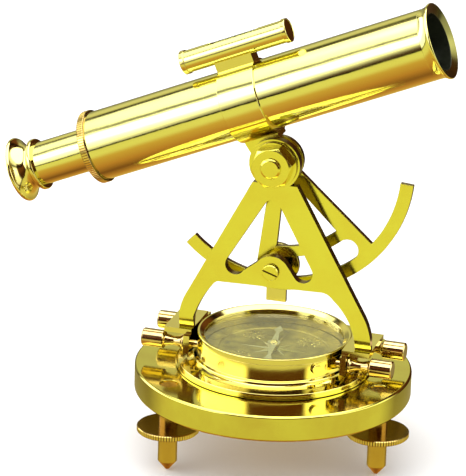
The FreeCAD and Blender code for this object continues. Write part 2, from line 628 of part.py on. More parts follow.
def clamp_spacer():
    """Distance washer between the A-frame and the limb."""
    washer = disc_y(SPACER_RADIUS, FRAME_BACK, LIMB_FRONT - BODY_GAP, 0, CLAMP_HEIGHT)
    return washer.cut(disc_y(CLAMP_SCREW_RADIUS + THREAD_CLEARANCE, -30, 30, 0, CLAMP_HEIGHT))


def clamp_stirrup():
    """Clamp plate behind the limb: a round head with a tail that hangs below the crossbar."""
    front = LIMB_FRONT + LIMB_THICKNESS + BODY_GAP
    back = front + STIRRUP_THICKNESS
    stirrup = disc_y(STIRRUP_HEAD_RADIUS, front, back, 0, CLAMP_HEIGHT)
    stirrup = stirrup.fuse(box(*STIRRUP_TAIL, front, back, STIRRUP_TAIL_END, CLAMP_HEIGHT))
    hole = disc_y(CLAMP_SCREW_RADIUS + THREAD_CLEARANCE, -30, 30, 0, CLAMP_HEIGHT)
    return stirrup.cut(hole).removeSplitter()


# ------------------------------------------------------------------ limb and saddle

def ring_sector(inner, outer, start, end):
    """Flat ring sector about the elevation axis, angles in degrees from +X."""
    middle = (start + end) / 2
    return outline(polar(inner, start), polar(outer, start), (polar(outer, middle), polar(outer, end)),
                   polar(inner, end), (polar(inner, middle), polar(inner, start)))


def limb_spoke(angle):
    """Tapered spoke from the hub to the outer band."""
    rim = LIMB_OUTER - LIMB_BAND / 2
    spoke = outline((0.0, -LIMB_SPOKE_HUB_WIDTH / 2), (rim, -LIMB_SPOKE_RIM_WIDTH / 2),
                    (rim, LIMB_SPOKE_RIM_WIDTH / 2), (0.0, LIMB_SPOKE_HUB_WIDTH / 2))
    spoke.rotate(ORIGIN, Y_AXIS, -angle)
    return spoke


def limb():
    """Open-work limb: hub, two spokes, inner ring and a long outer arc."""
    centre = -90.0 - LIMB_LAG
    back = LIMB_FRONT + LIMB_THICKNESS
    middle = LIMB_OUTER - LIMB_BAND
    plate = plate_y(ring_sector(middle, LIMB_OUTER, centre - LIMB_HALF_SPAN, centre + LIMB_HALF_SPAN),
                    LIMB_FRONT, back)
    arms = LIMB_SPOKE_ANGLE
    plate = plate.fuse(plate_y(ring_sector(LIMB_INNER_RING[0], LIMB_OUTER, centre - arms, centre + arms),
                               LIMB_FRONT, back))
    slot_mid, slot_half = (LIMB_INNER_RING[1] + middle) / 2, (middle - LIMB_INNER_RING[1]) / 2
    slot = plate_y(ring_sector(LIMB_INNER_RING[1], middle, centre - SLOT_HALF_SPAN, centre + SLOT_HALF_SPAN),
                   LIMB_FRONT - 1, back + 1)
    for side in (-1, 1):
        x, z = polar(slot_mid, centre + side * SLOT_HALF_SPAN)
        slot = slot.fuse(disc_y(slot_half, LIMB_FRONT - 1, back + 1, x, z))
    for side in (-1, 1):
        plate = plate.fuse(plate_y(limb_spoke(centre + side * LIMB_SPOKE_ANGLE), LIMB_FRONT, back))
    plate = plate.cut(slot)
    plate = plate.fuse(disc_y(LIMB_HUB_RADIUS, LIMB_FRONT, back))
    plate = plate.cut(disc_y(PIVOT_BOLT_RADIUS + THREAD_CLEARANCE, -30, 30))
    for angle in rivet_angles():
        x, z = polar(RIVET_CIRCLE, angle)
        plate = plate.cut(disc_y(RIVET_RADIUS, -30, 30, x, z))
    return tilted(plate.removeSplitter())


def rivet_angles():
    """Bearings of the rivets that join the limb to the saddle's lug."""
    return [30.0 + 120.0 * i for i in range(3)]


def limb_rivets():
    """Three rivets through the limb's hub and the lug, flush on both faces."""
    rivets = [disc_y(RIVET_RADIUS, BRACKET_FRONT, LIMB_FRONT + LIMB_THICKNESS, *polar(RIVET_CIRCLE, angle))
              for angle in rivet_angles()]
    return tilted(Part.makeCompound(rivets))


def saddle_bracket():
    """Cast bracket: a saddle under the collar, a waisted neck and a round lug on the elevation axis."""
    start, end = COLLAR
    saddle = pipe_x(SADDLE_RADIUS, COLLAR_RADIUS, start, end, TUBE_HEIGHT)
    reach = SADDLE_RADIUS * math.sin(math.radians(SADDLE_HALF_ANGLE))
    below = TUBE_HEIGHT - COLLAR_RADIUS * math.cos(math.radians(SADDLE_HALF_ANGLE))
    saddle = saddle.common(box(start, end, -reach, reach, 0.0, below))
    mid = (start + end) / 2
    top = TUBE_HEIGHT - 10.0
    neck = outline((mid - NECK_WIDTH / 2, top), (mid + NECK_WIDTH / 2, top),
                   ((mid + NECK_WIDTH / 2 - 0.4, 12.0), (NECK_WAIST / 2 + 1.5, 0.0)),
                   (-NECK_WAIST / 2 - 1.5, 0.0),
                   ((mid - NECK_WIDTH / 2 + 0.9, 9.0), (mid - NECK_WIDTH / 2, top)))
    neck = plate_y(neck, BRACKET_FRONT, BRACKET_BACK)
    neck = neck.cut(Part.makeCylinder(COLLAR_RADIUS, 80, V(-40, 0, TUBE_HEIGHT), X_AXIS))
    neck = neck.cut(disc_y(LIMB_HUB_RADIUS + BODY_GAP, LIMB_FRONT, 20))
    lug = disc_y(LUG_RADIUS, BRACKET_FRONT, LIMB_FRONT)
    bracket = saddle.fuse(neck).fuse(lug)
    bracket = bracket.cut(disc_y(PIVOT_BOLT_RADIUS + THREAD_CLEARANCE, -30, 30))
    for angle in rivet_angles():
        x, z = polar(RIVET_CIRCLE, angle)
        bracket = bracket.cut(disc_y(RIVET_RADIUS, -30, LIMB_FRONT, x, z))
    return tilted(bracket.removeSplitter())


# ------------------------------------------------------------------ telescope

def collar():
    """Band round the telescope's balance point."""
    start, end = COLLAR
    ring = turned_x((start, TUBE_RADIUS), (end, TUBE_RADIUS), (end, COLLAR_RADIUS - 0.3),
                    (end - 0.3, COLLAR_RADIUS), (start + 0.3, COLLAR_RADIUS), (start, COLLAR_RADIUS - 0.3))
    return on_tube(ring.cut(pad_screw_shanks()))


def main_tube():
    """Main telescope tube."""
    tube = pipe_x(TUBE_RADIUS, TUBE_BORE, TUBE_START, TUBE_END)
    return on_tube(tube.cut(pad_screw_shanks()))


def objective_bell():
    """Flared objective mount with a bevelled face."""
    return on_tube(turned_x((TUBE_END, TUBE_BORE), (TUBE_END, TUBE_RADIUS),
                            ((TUBE_END + 2.2, TUBE_RADIUS + 0.2), (BELL_END - 1.2, BELL_RADIUS - 0.1)),
                            (BELL_END - 0.5, BELL_RADIUS), (BELL_END, BELL_RADIUS - 0.4),
                            (BELL_END - 1.6, BELL_APERTURE), (TUBE_END, BELL_APERTURE)))


def lens(radius, clear, flat_start, edge, bulge_start, bulge_end):
    """Lens about X: a flat-rimmed disc with spherical faces inside its clear radius."""
    glass = Part.makeCylinder(radius, edge, V(flat_start, 0, 0), X_AXIS)
    for bulge, flat, outward in ((bulge_start, flat_start, -1), (bulge_end, flat_start + edge, 1)):
        if bulge:
            ball = (clear ** 2 + bulge ** 2) / (2 * bulge)
            cap = Part.makeSphere(ball, V(flat + outward * (bulge - ball), 0, 0), Y_AXIS)
            bound = Part.makeCylinder(clear + 1, bulge + 1, V(flat, 0, 0), V(outward, 0, 0))
            glass = glass.fuse(cap.common(bound))
    return glass


def objective_lens():
    """Biconvex objective lens."""
    return on_tube(lens(LENS_RADIUS, LENS_CLEAR_RADIUS, LENS_EDGE - LENS_EDGE_THICKNESS, LENS_EDGE_THICKNESS,
                        1.5, 1.5))


def lens_cell():
    """Ring that seats the objective lens in the tube."""
    back = LENS_EDGE - LENS_EDGE_THICKNESS
    return on_tube(turned_x((back - 3.0, 12.6), (back, 12.6), (back, LENS_RADIUS), (TUBE_END, LENS_RADIUS),
                            (TUBE_END, TUBE_BORE), (back - 3.0, TUBE_BORE)))


def lens_retainer():
    """Screwed ring that holds the lens in its cell."""
    return on_tube(turned_x((LENS_EDGE, 12.9), (TUBE_END, 12.9), (TUBE_END, LENS_RADIUS),
                            (LENS_EDGE, LENS_RADIUS)))


def knurled_ring():
    """Knurled end ring of the main tube, through which the draw tube slides."""
    ring = knurled_disc(KNURL_RING_RADIUS, DRAW_RADIUS + THREAD_CLEARANCE,
                        KNURL_RING[1] - KNURL_RING[0], 90, 0.25)
    ring.rotate(ORIGIN, Y_AXIS, 90)
    ring.translate(V(KNURL_RING[0], 0, 0))
    seat = Part.makeCylinder(TUBE_RADIUS, 10, V(TUBE_START, 0, 0), X_AXIS)
    return on_tube(ring.cut(seat))


def ring_spigot():
    """Plug behind the knurled ring that guides the draw tube inside the main tube."""
    return on_tube(pipe_x(TUBE_BORE, DRAW_RADIUS + THREAD_CLEARANCE, TUBE_START, TUBE_START + 9.0))


def draw_tube():
    """Sliding draw tube."""
    return on_tube(pipe_x(DRAW_RADIUS, DRAW_BORE, DRAW_START, DRAW_END))


def draw_guide():
    """Ring on the draw tube's inner end that runs in the main tube."""
    return on_tube(pipe_x(TUBE_BORE - THREAD_CLEARANCE, DRAW_RADIUS, DRAW_END - GUIDE_LENGTH, DRAW_END))


def bead_ring():
    """Rounded bead between the draw tube and the eyepiece."""
    start, end = BEAD
    middle = (start + end) / 2
    return on_tube(turned_x((start, CUP_THROAT_RADIUS - 1.6), (start, BEAD_RADIUS - 0.8),
                            ((middle, BEAD_RADIUS), (end, BEAD_RADIUS - 0.8)), (end, DRAW_RADIUS),
                            (DRAW_START, DRAW_RADIUS), (DRAW_START, CUP_THROAT_RADIUS - 1.6)))


def eyepiece_cup():
    """Trumpet-shaped eyepiece cup with a floor pierced for the eye."""
    start = BEAD[0]
    throat = CUP_THROAT_RADIUS
    rim = CUP_RIM_RADIUS
    return on_tube(turned_x((start, EYE_BORE), (start, throat + 1.0),
                            ((start - 1.6, throat - 0.1), (start - 4.0, throat + 0.9)),
                            ((start - 6.2, rim - 2.6), (CUP_END + 1.0, rim - 0.1)), (CUP_END + 0.3, rim),
                            (CUP_END, rim - 0.4),
                            ((CUP_END + 1.6, rim - CUP_WALL - 2.6), (start - 3.4, throat - 0.6)),
                            (start - 2.4, throat - 1.0), (start - 2.4, EYE_BORE)))


def eye_lens():
    """Plano-convex eye lens against the inside of the cup's floor."""
    radius = CUP_THROAT_RADIUS - 1.6
    return on_tube(lens(radius, radius - 0.3, BEAD[0], 0.9, 0.0, 1.0))


def field_lens():
    """Plano-convex field lens inside the draw tube."""
    return on_tube(lens(DRAW_BORE, DRAW_BORE - 0.4, FIELD_LENS_START, 1.2, 0.0, 1.2))


# ------------------------------------------------------------------ spirit level

def along_level(solid):
    """Place a solid modelled about the level's own axis, its middle at the origin."""
    moved = solid.copy()
    moved.translate(V(LEVEL_CENTRE, 0, LEVEL_HEIGHT))
    return on_tube(moved)


def level_window():
    """Cutter for the round-ended sighting window."""
    half, radius = LEVEL_WINDOW_LENGTH / 2 - LEVEL_WINDOW_WIDTH / 2, LEVEL_WINDOW_WIDTH / 2
    cutter = box(-half, half, -radius, radius, 0, 10)
    for x in (-half, half):
        cutter = cutter.fuse(Part.makeCylinder(radius, 10, V(x, 0, 0)))
    return cutter


def level_tube():
    """Brass case of the level with its window."""
    tube = pipe_x(LEVEL_RADIUS, LEVEL_BORE, -LEVEL_HALF_LENGTH + 0.6, LEVEL_HALF_LENGTH - 0.6)
    shanks = pad_screw_shanks()
    shanks.translate(V(-LEVEL_CENTRE, 0, -LEVEL_HEIGHT))
    return along_level(tube.cut(level_window()).cut(shanks))


def level_vial():
    """Sealed glass vial."""
    half = LEVEL_HALF_LENGTH - 2.6
    return along_level(turned_x((-half, 0.0), (-half, VIAL_RADIUS - 1.0), (-half + 1.0, VIAL_RADIUS),
                                (half - 1.0, VIAL_RADIUS), (half, VIAL_RADIUS - 1.0), (half, 0.0)))


def level_cap(side):
    """Flanged end cap of the level."""
    half = LEVEL_HALF_LENGTH
    cap = turned_x((half - 2.4, 0.0), (half - 2.4, LEVEL_BORE), (half - 0.6, LEVEL_BORE),
                   (half - 0.6, LEVEL_CAP_RADIUS - 0.2),
                   (half - 0.3, LEVEL_CAP_RADIUS), (half + LEVEL_CAP_LENGTH - 1.0, LEVEL_CAP_RADIUS),
                   (half + LEVEL_CAP_LENGTH - 0.6, LEVEL_CAP_RADIUS - 0.4),
                   (half + LEVEL_CAP_LENGTH - 0.6, 0.0))
    if side < 0:
        cap.rotate(ORIGIN, Z_AXIS, 180)
    return along_level(cap)


def level_pad():
    """Block that seats the level on the collar."""
    start, end = COLLAR
    block = box(start, end, -PAD_WIDTH / 2, PAD_WIDTH / 2, COLLAR_RADIUS - 1.0,
                LEVEL_HEIGHT - LEVEL_RADIUS + 1.2)
    block = block.cut(Part.makeCylinder(COLLAR_RADIUS, 80, V(-40, 0, 0), X_AXIS))
    block = block.cut(Part.makeCylinder(LEVEL_RADIUS, 80, V(-40, 0, LEVEL_HEIGHT), X_AXIS))
    return on_tube(block.cut(pad_screw_shanks()))


def pad_screw_shanks():
    """The two screws that hold the level, about the telescope's axis."""
    start, end = COLLAR
    bottom, top = TUBE_BORE + 0.1, LEVEL_HEIGHT - LEVEL_BORE - 0.1
    return Part.makeCompound([Part.makeCylinder(PAD_SCREW_RADIUS, top - bottom, V(x, 0, bottom))
                              for x in (start + 3.5, end - 3.5)])


def level_screws():
    """Two screws from inside the level case through the pad into the tube."""
    return on_tube(pad_screw_shanks())


# ------------------------------------------------------------------ build

def build():
    """Every node of the instrument by name."""
    nodes = {
        "base_disc": base_disc(), "azimuth_bush": azimuth_bush(), "azimuth_spindle": azimuth_spindle(),
        "azimuth_washer": azimuth_washer(), "azimuth_nut": azimuth_nut(),
        "turntable_plate": turntable_plate(),
        "compass_bowl": compass_bowl(), "compass_bezel": bezel_ring(), "compass_glass": compass_glass(),
        "compass_dial": compass_dial(), "compass_pivot": compass_pivot(), "compass_needle": needle_blade(),
        "needle_cap": needle_cap(), "bezel_screw": bezel_screw(), "a_frame": a_frame(),
        "pivot_bolt": pivot_bolt(), "pivot_nut": pivot_nut(), "clamp_screw": clamp_screw(),
        "clamp_spacer": clamp_spacer(), "clamp_stirrup": clamp_stirrup(), "limb": limb(),
        "limb_rivets": limb_rivets(), "saddle_bracket": saddle_bracket(), "collar": collar(),
        "main_tube": main_tube(), "objective_bell": objective_bell(), "objective_lens": objective_lens(),
        "lens_cell": lens_cell(), "lens_retainer": lens_retainer(), "knurled_ring": knurled_ring(),
        "ring_spigot": ring_spigot(), "draw_tube": draw_tube(), "draw_guide": draw_guide(),
        "bead_ring": bead_ring(), "eyepiece_cup": eyepiece_cup(), "eye_lens": eye_lens(),
        "field_lens": field_lens(), "level_tube": level_tube(), "level_vial": level_vial(),
        "level_pad": level_pad(), "level_screws": level_screws(),
        "level_cap_eye": level_cap(-1), "level_cap_objective": level_cap(1),
    }
    for number, angle in enumerate(FOOT_ANGLES, 1):
        x, y = polar(FOOT_CIRCLE_RADIUS, angle)
        nodes[f"levelling_stud_{number}"] = levelling_stud(x, y)
        nodes[f"levelling_wheel_{number}"] = levelling_wheel(x, y)
    for name, side in (("left", -1), ("right", 1)):
        nodes[f"foot_bracket_{name}"] = foot_bracket(name, side)
        nodes[f"leg_screw_{name}"] = leg_screw(name)
        for place, y in (("front", -THUMBSCREW_OFFSET), ("back", THUMBSCREW_OFFSET)):
            nodes[f"thumbscrew_{name}_{place}"] = thumbscrew(side, y)
    return nodes


if __name__ == "__main__":
    os.makedirs("parts", exist_ok=True)
    for name, shape in build().items():
        if not shape.isValid():
            print("invalid:", name)
        shape.exportStep(f"parts/{name}.step")
        print(f"{name:24s} solids {len(shape.Solids)}  volume {shape.Volume:10.1f} mm3")
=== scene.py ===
"""Brass alidade theodolite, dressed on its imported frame.

Each sub-assembly is a class that holds its sizes in millimetres and builds its pieces in metres. All of it is
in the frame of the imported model: Z up, the origin under the azimuth axis, the objective towards +X.
"""
import json
import logging
import math
from dataclasses import dataclass, field
from enum import Enum
from typing import Callable, Iterable

import bmesh
import bpy
from mathutils import Matrix, Vector


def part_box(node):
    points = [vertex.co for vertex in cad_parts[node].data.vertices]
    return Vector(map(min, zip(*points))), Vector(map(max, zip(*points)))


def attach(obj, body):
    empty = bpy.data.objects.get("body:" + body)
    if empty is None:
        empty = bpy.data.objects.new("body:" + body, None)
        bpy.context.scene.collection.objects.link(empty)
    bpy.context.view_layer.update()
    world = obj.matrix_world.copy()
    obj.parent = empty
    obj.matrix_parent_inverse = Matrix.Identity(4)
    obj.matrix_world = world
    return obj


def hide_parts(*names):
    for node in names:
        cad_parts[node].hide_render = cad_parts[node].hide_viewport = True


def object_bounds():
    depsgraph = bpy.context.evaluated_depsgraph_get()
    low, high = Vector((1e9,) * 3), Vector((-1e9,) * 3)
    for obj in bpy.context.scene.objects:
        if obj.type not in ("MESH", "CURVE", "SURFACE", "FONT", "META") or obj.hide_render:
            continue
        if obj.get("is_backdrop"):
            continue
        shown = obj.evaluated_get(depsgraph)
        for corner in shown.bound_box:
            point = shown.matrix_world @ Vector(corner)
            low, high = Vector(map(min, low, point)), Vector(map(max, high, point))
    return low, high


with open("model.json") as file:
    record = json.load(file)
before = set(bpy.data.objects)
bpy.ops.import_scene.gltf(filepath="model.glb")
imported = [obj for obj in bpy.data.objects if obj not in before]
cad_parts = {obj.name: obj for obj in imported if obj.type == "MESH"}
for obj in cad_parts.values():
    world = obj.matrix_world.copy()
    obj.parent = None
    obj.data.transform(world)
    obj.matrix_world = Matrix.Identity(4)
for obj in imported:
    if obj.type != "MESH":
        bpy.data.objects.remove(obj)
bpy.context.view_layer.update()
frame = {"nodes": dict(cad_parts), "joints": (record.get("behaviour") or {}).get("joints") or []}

MM = 0.001
LOG = logging.getLogger("theodolite")
SHARP_EDGE = math.radians(35)
BORE_LEAN = -0.5            # faces of turned work that lean in more than this line its bore
RIM_LEAN = (-0.45, -0.25)   # faces between these slope in at a rim
SIDE_FACING = 0.3           # faces of a plate whose normals keep below this along Y are its sawn sides
Colour = tuple[float, float, float, float]
Profile = list[tuple[float, float, float]]


class Slot(Enum):
    """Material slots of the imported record."""

    POLISHED = "polished_brass"
    KNURLED = "knurled_brass"
    DIAL = "dial_brass"
    NEEDLE = "needle_metal"
    GLASS = "clear_glass"


# -------------------------------------------------------------------------------- node helpers

class Nodes:
    """A node tree with short calls for adding and joining nodes."""

    def __init__(self, tree: bpy.types.NodeTree) -> None:
        """Wraps a tree.

        Args:
            tree: The material, world or group tree to fill.
        """
        self.tree = tree

    def add(self, kind: str, **settings: object) -> bpy.types.Node:
        """Adds a node and sets its properties; a key that starts with in_ sets the input of that number.

        Args:
            kind: The node's type name.
            **settings: Properties, or in_0, in_1 and so on for inputs: a value, or a socket to join.

        Returns:
            The new node.
        """
        node = self.tree.nodes.new(kind)
        for key, value in settings.items():
            if key.startswith("in_"):
                socket = node.inputs[int(key[3:])]
                if isinstance(value, bpy.types.NodeSocket):
                    self.tree.links.new(value, socket)
                else:
                    socket.default_value = value
            else:
                setattr(node, key, value)
        return node

    def join(self, source: bpy.types.NodeSocket, target: bpy.types.NodeSocket) -> None:
        """Joins two sockets."""
        self.tree.links.new(source, target)

    def math(self, operation: str, *values: object, clamp: bool = False) -> bpy.types.NodeSocket:
        """Adds a Math node.

        Args:
            operation: Its operation.
            *values: Its inputs, numbers or sockets.
            clamp: Whether the result stays in 0..1.

        Returns:
            Its output.
        """
        inputs = {f"in_{i}": v for i, v in enumerate(values)}
        return self.add("ShaderNodeMath", operation=operation, use_clamp=clamp, **inputs).outputs[0]

    def mix(self, factor: object, a: object, b: object, blend: str = "MIX") -> bpy.types.NodeSocket:
        """Adds a colour Mix node.

        Args:
            factor: The share of b.
            a: The first colour.
            b: The second colour.
            blend: The blend type.

        Returns:
            The mixed colour.
        """
        node = self.add("ShaderNodeMix", data_type="RGBA", blend_type=blend, in_0=factor, in_6=a, in_7=b)
        return node.outputs[2]

    def ramp(self, factor: bpy.types.NodeSocket, *stops: tuple[float, Colour],
             interpolation: str = "LINEAR") -> bpy.types.NodeSocket:
        """Adds a Color Ramp node.

        Args:
            factor: What it reads.
            *stops: Position and colour of each stop.
            interpolation: How it blends between stops.

        Returns:
            Its colour.
        """
        node = self.add("ShaderNodeValToRGB", in_0=factor)
        node.color_ramp.interpolation = interpolation
        elements = node.color_ramp.elements
        for place, colour in stops[2:]:
            elements.new(place)
        for element, (place, colour) in zip(elements, stops):
            element.position = place
        for element, (place, colour) in zip(elements, stops):
            element.position, element.color = place, colour
        return node.outputs[0]


def grey(level: float) -> Colour:
    """A neutral colour of one level."""
    return (level, level, level, 1.0)


class GroupShelf:
    """Shader groups, each built once."""

    @staticmethod
    def fetch(name: str, inputs: dict[str, tuple[str, object]], outputs: dict[str, str],
              fill: Callable[[Nodes, bpy.types.Node, bpy.types.Node], None]) -> bpy.types.NodeTree:
        """Finds a group by name, or builds it.

        Args:
            name: The group's name.
            inputs: Socket name to its type and default value.
            outputs: Socket name to its type.
            fill: Called with the wrapped tree, its input node and its output node.

        Returns:
            The group's tree.
        """
        tree = bpy.data.node_groups.get(name)
        if tree:
            return tree
        tree = bpy.data.node_groups.new(name, "ShaderNodeTree")
        for socket, (kind, value) in inputs.items():
            made = tree.interface.new_socket(socket, in_out="INPUT", socket_type=kind)
            if value is not None:
                made.default_value = value
        for socket, kind in outputs.items():
            tree.interface.new_socket(socket, in_out="OUTPUT", socket_type=kind)
        nodes = Nodes(tree)
        fill(nodes, nodes.add("NodeGroupInput"), nodes.add("NodeGroupOutput"))
        return tree

    @classmethod
    def handling(cls) -> bpy.types.NodeTree:
        """Wear of polished metal: cloudy tarnish, wiping marks and fine scratches.

        Returns:
            A group that puts out the surface colour, its roughness and the height of its marks.
        """
        inputs = {"Vector": ("NodeSocketVector", None), "Clean": ("NodeSocketColor", grey(0.8)),
                  "Tarnish": ("NodeSocketColor", grey(0.3)), "Amount": ("NodeSocketFloat", 0.3),
                  "Polish": ("NodeSocketFloat", 0.06), "Spread": ("NodeSocketFloat", 0.08)}
        outputs = {"Colour": "NodeSocketColor", "Roughness": "NodeSocketFloat", "Height": "NodeSocketFloat"}

        def fill(n: Nodes, source: bpy.types.Node, sink: bpy.types.Node) -> None:
            """Fills the group."""
            put = source.outputs
            cloud = n.add("ShaderNodeTexNoise", in_0=put["Vector"])
            cloud.inputs["Scale"].default_value = 38.0
            cloud.inputs["Detail"].default_value = 4.0
            cloud.inputs["Roughness"].default_value = 0.6
            speck = n.add("ShaderNodeTexNoise", in_0=put["Vector"])
            speck.inputs["Scale"].default_value = 900.0
            speck.inputs["Detail"].default_value = 2.0
            stretched = n.add("ShaderNodeMapping", in_0=put["Vector"])
            stretched.inputs["Scale"].default_value = (60.0, 1400.0, 900.0)
            stretched.inputs["Rotation"].default_value = (0.2, 0.35, 0.12)
            scratch = n.add("ShaderNodeTexNoise", in_0=stretched.outputs[0])
            scratch.inputs["Scale"].default_value = 1.0
            scratch.inputs["Detail"].default_value = 3.0
            patch = n.math("MULTIPLY_ADD", cloud.outputs[0], 3.0, -1.15, clamp=True)
            share = n.math("MULTIPLY", patch, put["Amount"], clamp=True)
            n.join(n.mix(share, put["Clean"], put["Tarnish"]), sink.inputs["Colour"])
            fine = n.math("MULTIPLY_ADD", scratch.outputs[0], 0.5, 0.1)
            rough = n.math("MULTIPLY", n.math("ADD", fine, patch), put["Spread"])
            n.join(n.math("ADD", rough, put["Polish"]), sink.inputs["Roughness"])
            marks = n.math("ADD", n.math("MULTIPLY", scratch.outputs[0], 0.6),
                           n.math("MULTIPLY", speck.outputs[0], 0.4))
            n.join(marks, sink.inputs["Height"])

        return cls.fetch("handled_metal", inputs, outputs, fill)

    @classmethod
    def ripple(cls) -> bpy.types.NodeTree:
        """Slow unevenness left by hand polishing, which bends reflections a little.

        Returns:
            A group that puts out a height.
        """
        inputs = {"Vector": ("NodeSocketVector", None), "Size": ("NodeSocketFloat", 60.0)}

        def fill(n: Nodes, source: bpy.types.Node, sink: bpy.types.Node) -> None:
            """Fills the group."""
            noise = n.add("ShaderNodeTexNoise", in_0=source.outputs["Vector"])
            noise.inputs["Detail"].default_value = 1.0
            n.join(source.outputs["Size"], noise.inputs["Scale"])
            n.join(noise.outputs[0], sink.inputs["Height"])

        return cls.fetch("polishing_ripple", inputs, {"Height": "NodeSocketFloat"}, fill)


# -------------------------------------------------------------------------------- finishes

@dataclass(frozen=True)
class Finish:
    """Base of every finish: a name and a way to make its material once."""

    name: str

    def material(self) -> bpy.types.Material:
        """The finish's material, made on first use.

        Returns:
            The material.
        """
        found = bpy.data.materials.get(self.name)
        if found:
            return found
        made = bpy.data.materials.new(self.name)
        made.use_nodes = True
        nodes = Nodes(made.node_tree)
        shader = made.node_tree.nodes["Principled BSDF"]
        self.dress(nodes, shader)
        return made

    def dress(self, n: Nodes, shader: bpy.types.Node) -> None:
        """Fills the node tree."""
        raise NotImplementedError

    def place(self, n: Nodes, turn: float = 0.0, scale: tuple[float, float, float] = (1.0, 1.0, 1.0)) \
            -> bpy.types.NodeSocket:
        """Object coordinates, turned about Y and scaled.

        Args:
            n: The material's nodes.
            turn: Angle about Y in radians.
            scale: Scale along each axis.

        Returns:
            The coordinate socket.
        """
        source = n.add("ShaderNodeTexCoord").outputs["Object"]
        mapping = n.add("ShaderNodeMapping", in_0=source)
        mapping.inputs["Rotation"].default_value = (0.0, turn, 0.0)
        mapping.inputs["Scale"].default_value = scale
        return mapping.outputs[0]


@dataclass(frozen=True)
class Brass(Finish):
    """Polished brass with cloudy tarnish and fine handling marks."""

    clean: Colour = (0.80, 0.74, 0.16, 1.0)
    tarnish: Colour = (0.62, 0.42, 0.07, 1.0)
    amount: float = 0.25
    polish: float = 0.05
    spread: float = 0.07
    marks: float = 0.00001
    ripple: float = 0.0001
    ripple_size: float = 45.0
    turn: float = 0.0
    along: tuple[float, float, float] = (1.0, 1.0, 1.0)

    def dress(self, n: Nodes, shader: bpy.types.Node) -> None:
        """Fills the node tree."""
        coordinate = self.place(n, self.turn, self.along)
        wear = n.add("ShaderNodeGroup", node_tree=GroupShelf.handling())
        n.join(coordinate, wear.inputs["Vector"])
        wear.inputs["Clean"].default_value = self.clean
        wear.inputs["Tarnish"].default_value = self.tarnish
        wear.inputs["Amount"].default_value = self.amount
        wear.inputs["Polish"].default_value = self.polish
        wear.inputs["Spread"].default_value = self.spread
        slow = n.add("ShaderNodeGroup", node_tree=GroupShelf.ripple())
        n.join(coordinate, slow.inputs["Vector"])
        slow.inputs["Size"].default_value = self.ripple_size
        uneven = n.add("ShaderNodeBump")
        uneven.inputs["Distance"].default_value = self.ripple
        n.join(slow.outputs["Height"], uneven.inputs["Height"])
        bump = n.add("ShaderNodeBump")
        bump.inputs["Distance"].default_value = self.marks
        n.join(wear.outputs["Height"], bump.inputs["Height"])
        n.join(uneven.outputs[0], bump.inputs["Normal"])
        n.join(self.tone(n, wear.outputs["Colour"]), shader.inputs["Base Color"])
        n.join(wear.outputs["Roughness"], shader.inputs["Roughness"])
        n.join(bump.outputs[0], shader.inputs["Normal"])
        shader.inputs["Metallic"].default_value = 1.0

    def tone(self, n: Nodes, colour: bpy.types.NodeSocket) -> bpy.types.NodeSocket:
        """A chance to change the worn colour; plain brass keeps it."""
        return colour


@dataclass(frozen=True)
class KnurledBrass(Brass):
    """Brass with painted shade: darker down in the grooves of its knurling, and on faces the piece marks as
    shaded.
    """

    # colour of the painted shade, mixed in by the painted shade attribute
    painted_shade: Colour = (0.10, 0.05, 0.02, 1.0)

    def tone(self, n: Nodes, colour: bpy.types.NodeSocket) -> bpy.types.NodeSocket:
        """Darkens the colour by the piece's painted shade attribute.

        Args:
            n: The material's nodes.
            colour: The worn colour.

        Returns:
            The darkened colour.
        """
        depth = n.add("ShaderNodeAttribute", attribute_name="painted_shade").outputs["Fac"]
        return n.mix(depth, colour, self.painted_shade)


@dataclass(frozen=True)
class DialBrass(Finish):
    """Stippled dial metal with lightly engraved rings."""

    light: Colour = (0.64, 0.54, 0.11, 1.0)
    dark: Colour = (0.24, 0.19, 0.035, 1.0)

    def dress(self, n: Nodes, shader: bpy.types.Node) -> None:
        """Fills the node tree."""
        coordinate = self.place(n)
        parts = n.add("ShaderNodeSeparateXYZ", in_0=coordinate)
        radius = n.math("SQRT", n.math("ADD", n.math("POWER", parts.outputs[0], 2.0),
                                       n.math("POWER", parts.outputs[1], 2.0)))
        rings = n.math("SINE", n.math("MULTIPLY", radius, 2 * math.pi / 0.0011))
        stipple = n.add("ShaderNodeTexVoronoi", in_0=coordinate)
        stipple.inputs["Scale"].default_value = 1500.0
        cloud = n.add("ShaderNodeTexNoise", in_0=coordinate)
        cloud.inputs["Scale"].default_value = 160.0
        cloud.inputs["Detail"].default_value = 5.0
        share = n.math("MULTIPLY_ADD", cloud.outputs[0], 2.2, -0.7, clamp=True)
        base = n.mix(share, self.dark, self.light)
        n.join(base, shader.inputs["Base Color"])
        n.join(n.math("MULTIPLY_ADD", stipple.outputs[0], 0.25, 0.34), shader.inputs["Roughness"])
        height = n.math("ADD", n.math("MULTIPLY", rings, 0.25), stipple.outputs[0])
        bump = n.add("ShaderNodeBump")
        bump.inputs["Distance"].default_value = 0.00006
        n.join(height, bump.inputs["Height"])
        n.join(bump.outputs[0], shader.inputs["Normal"])
        shader.inputs["Metallic"].default_value = 1.0


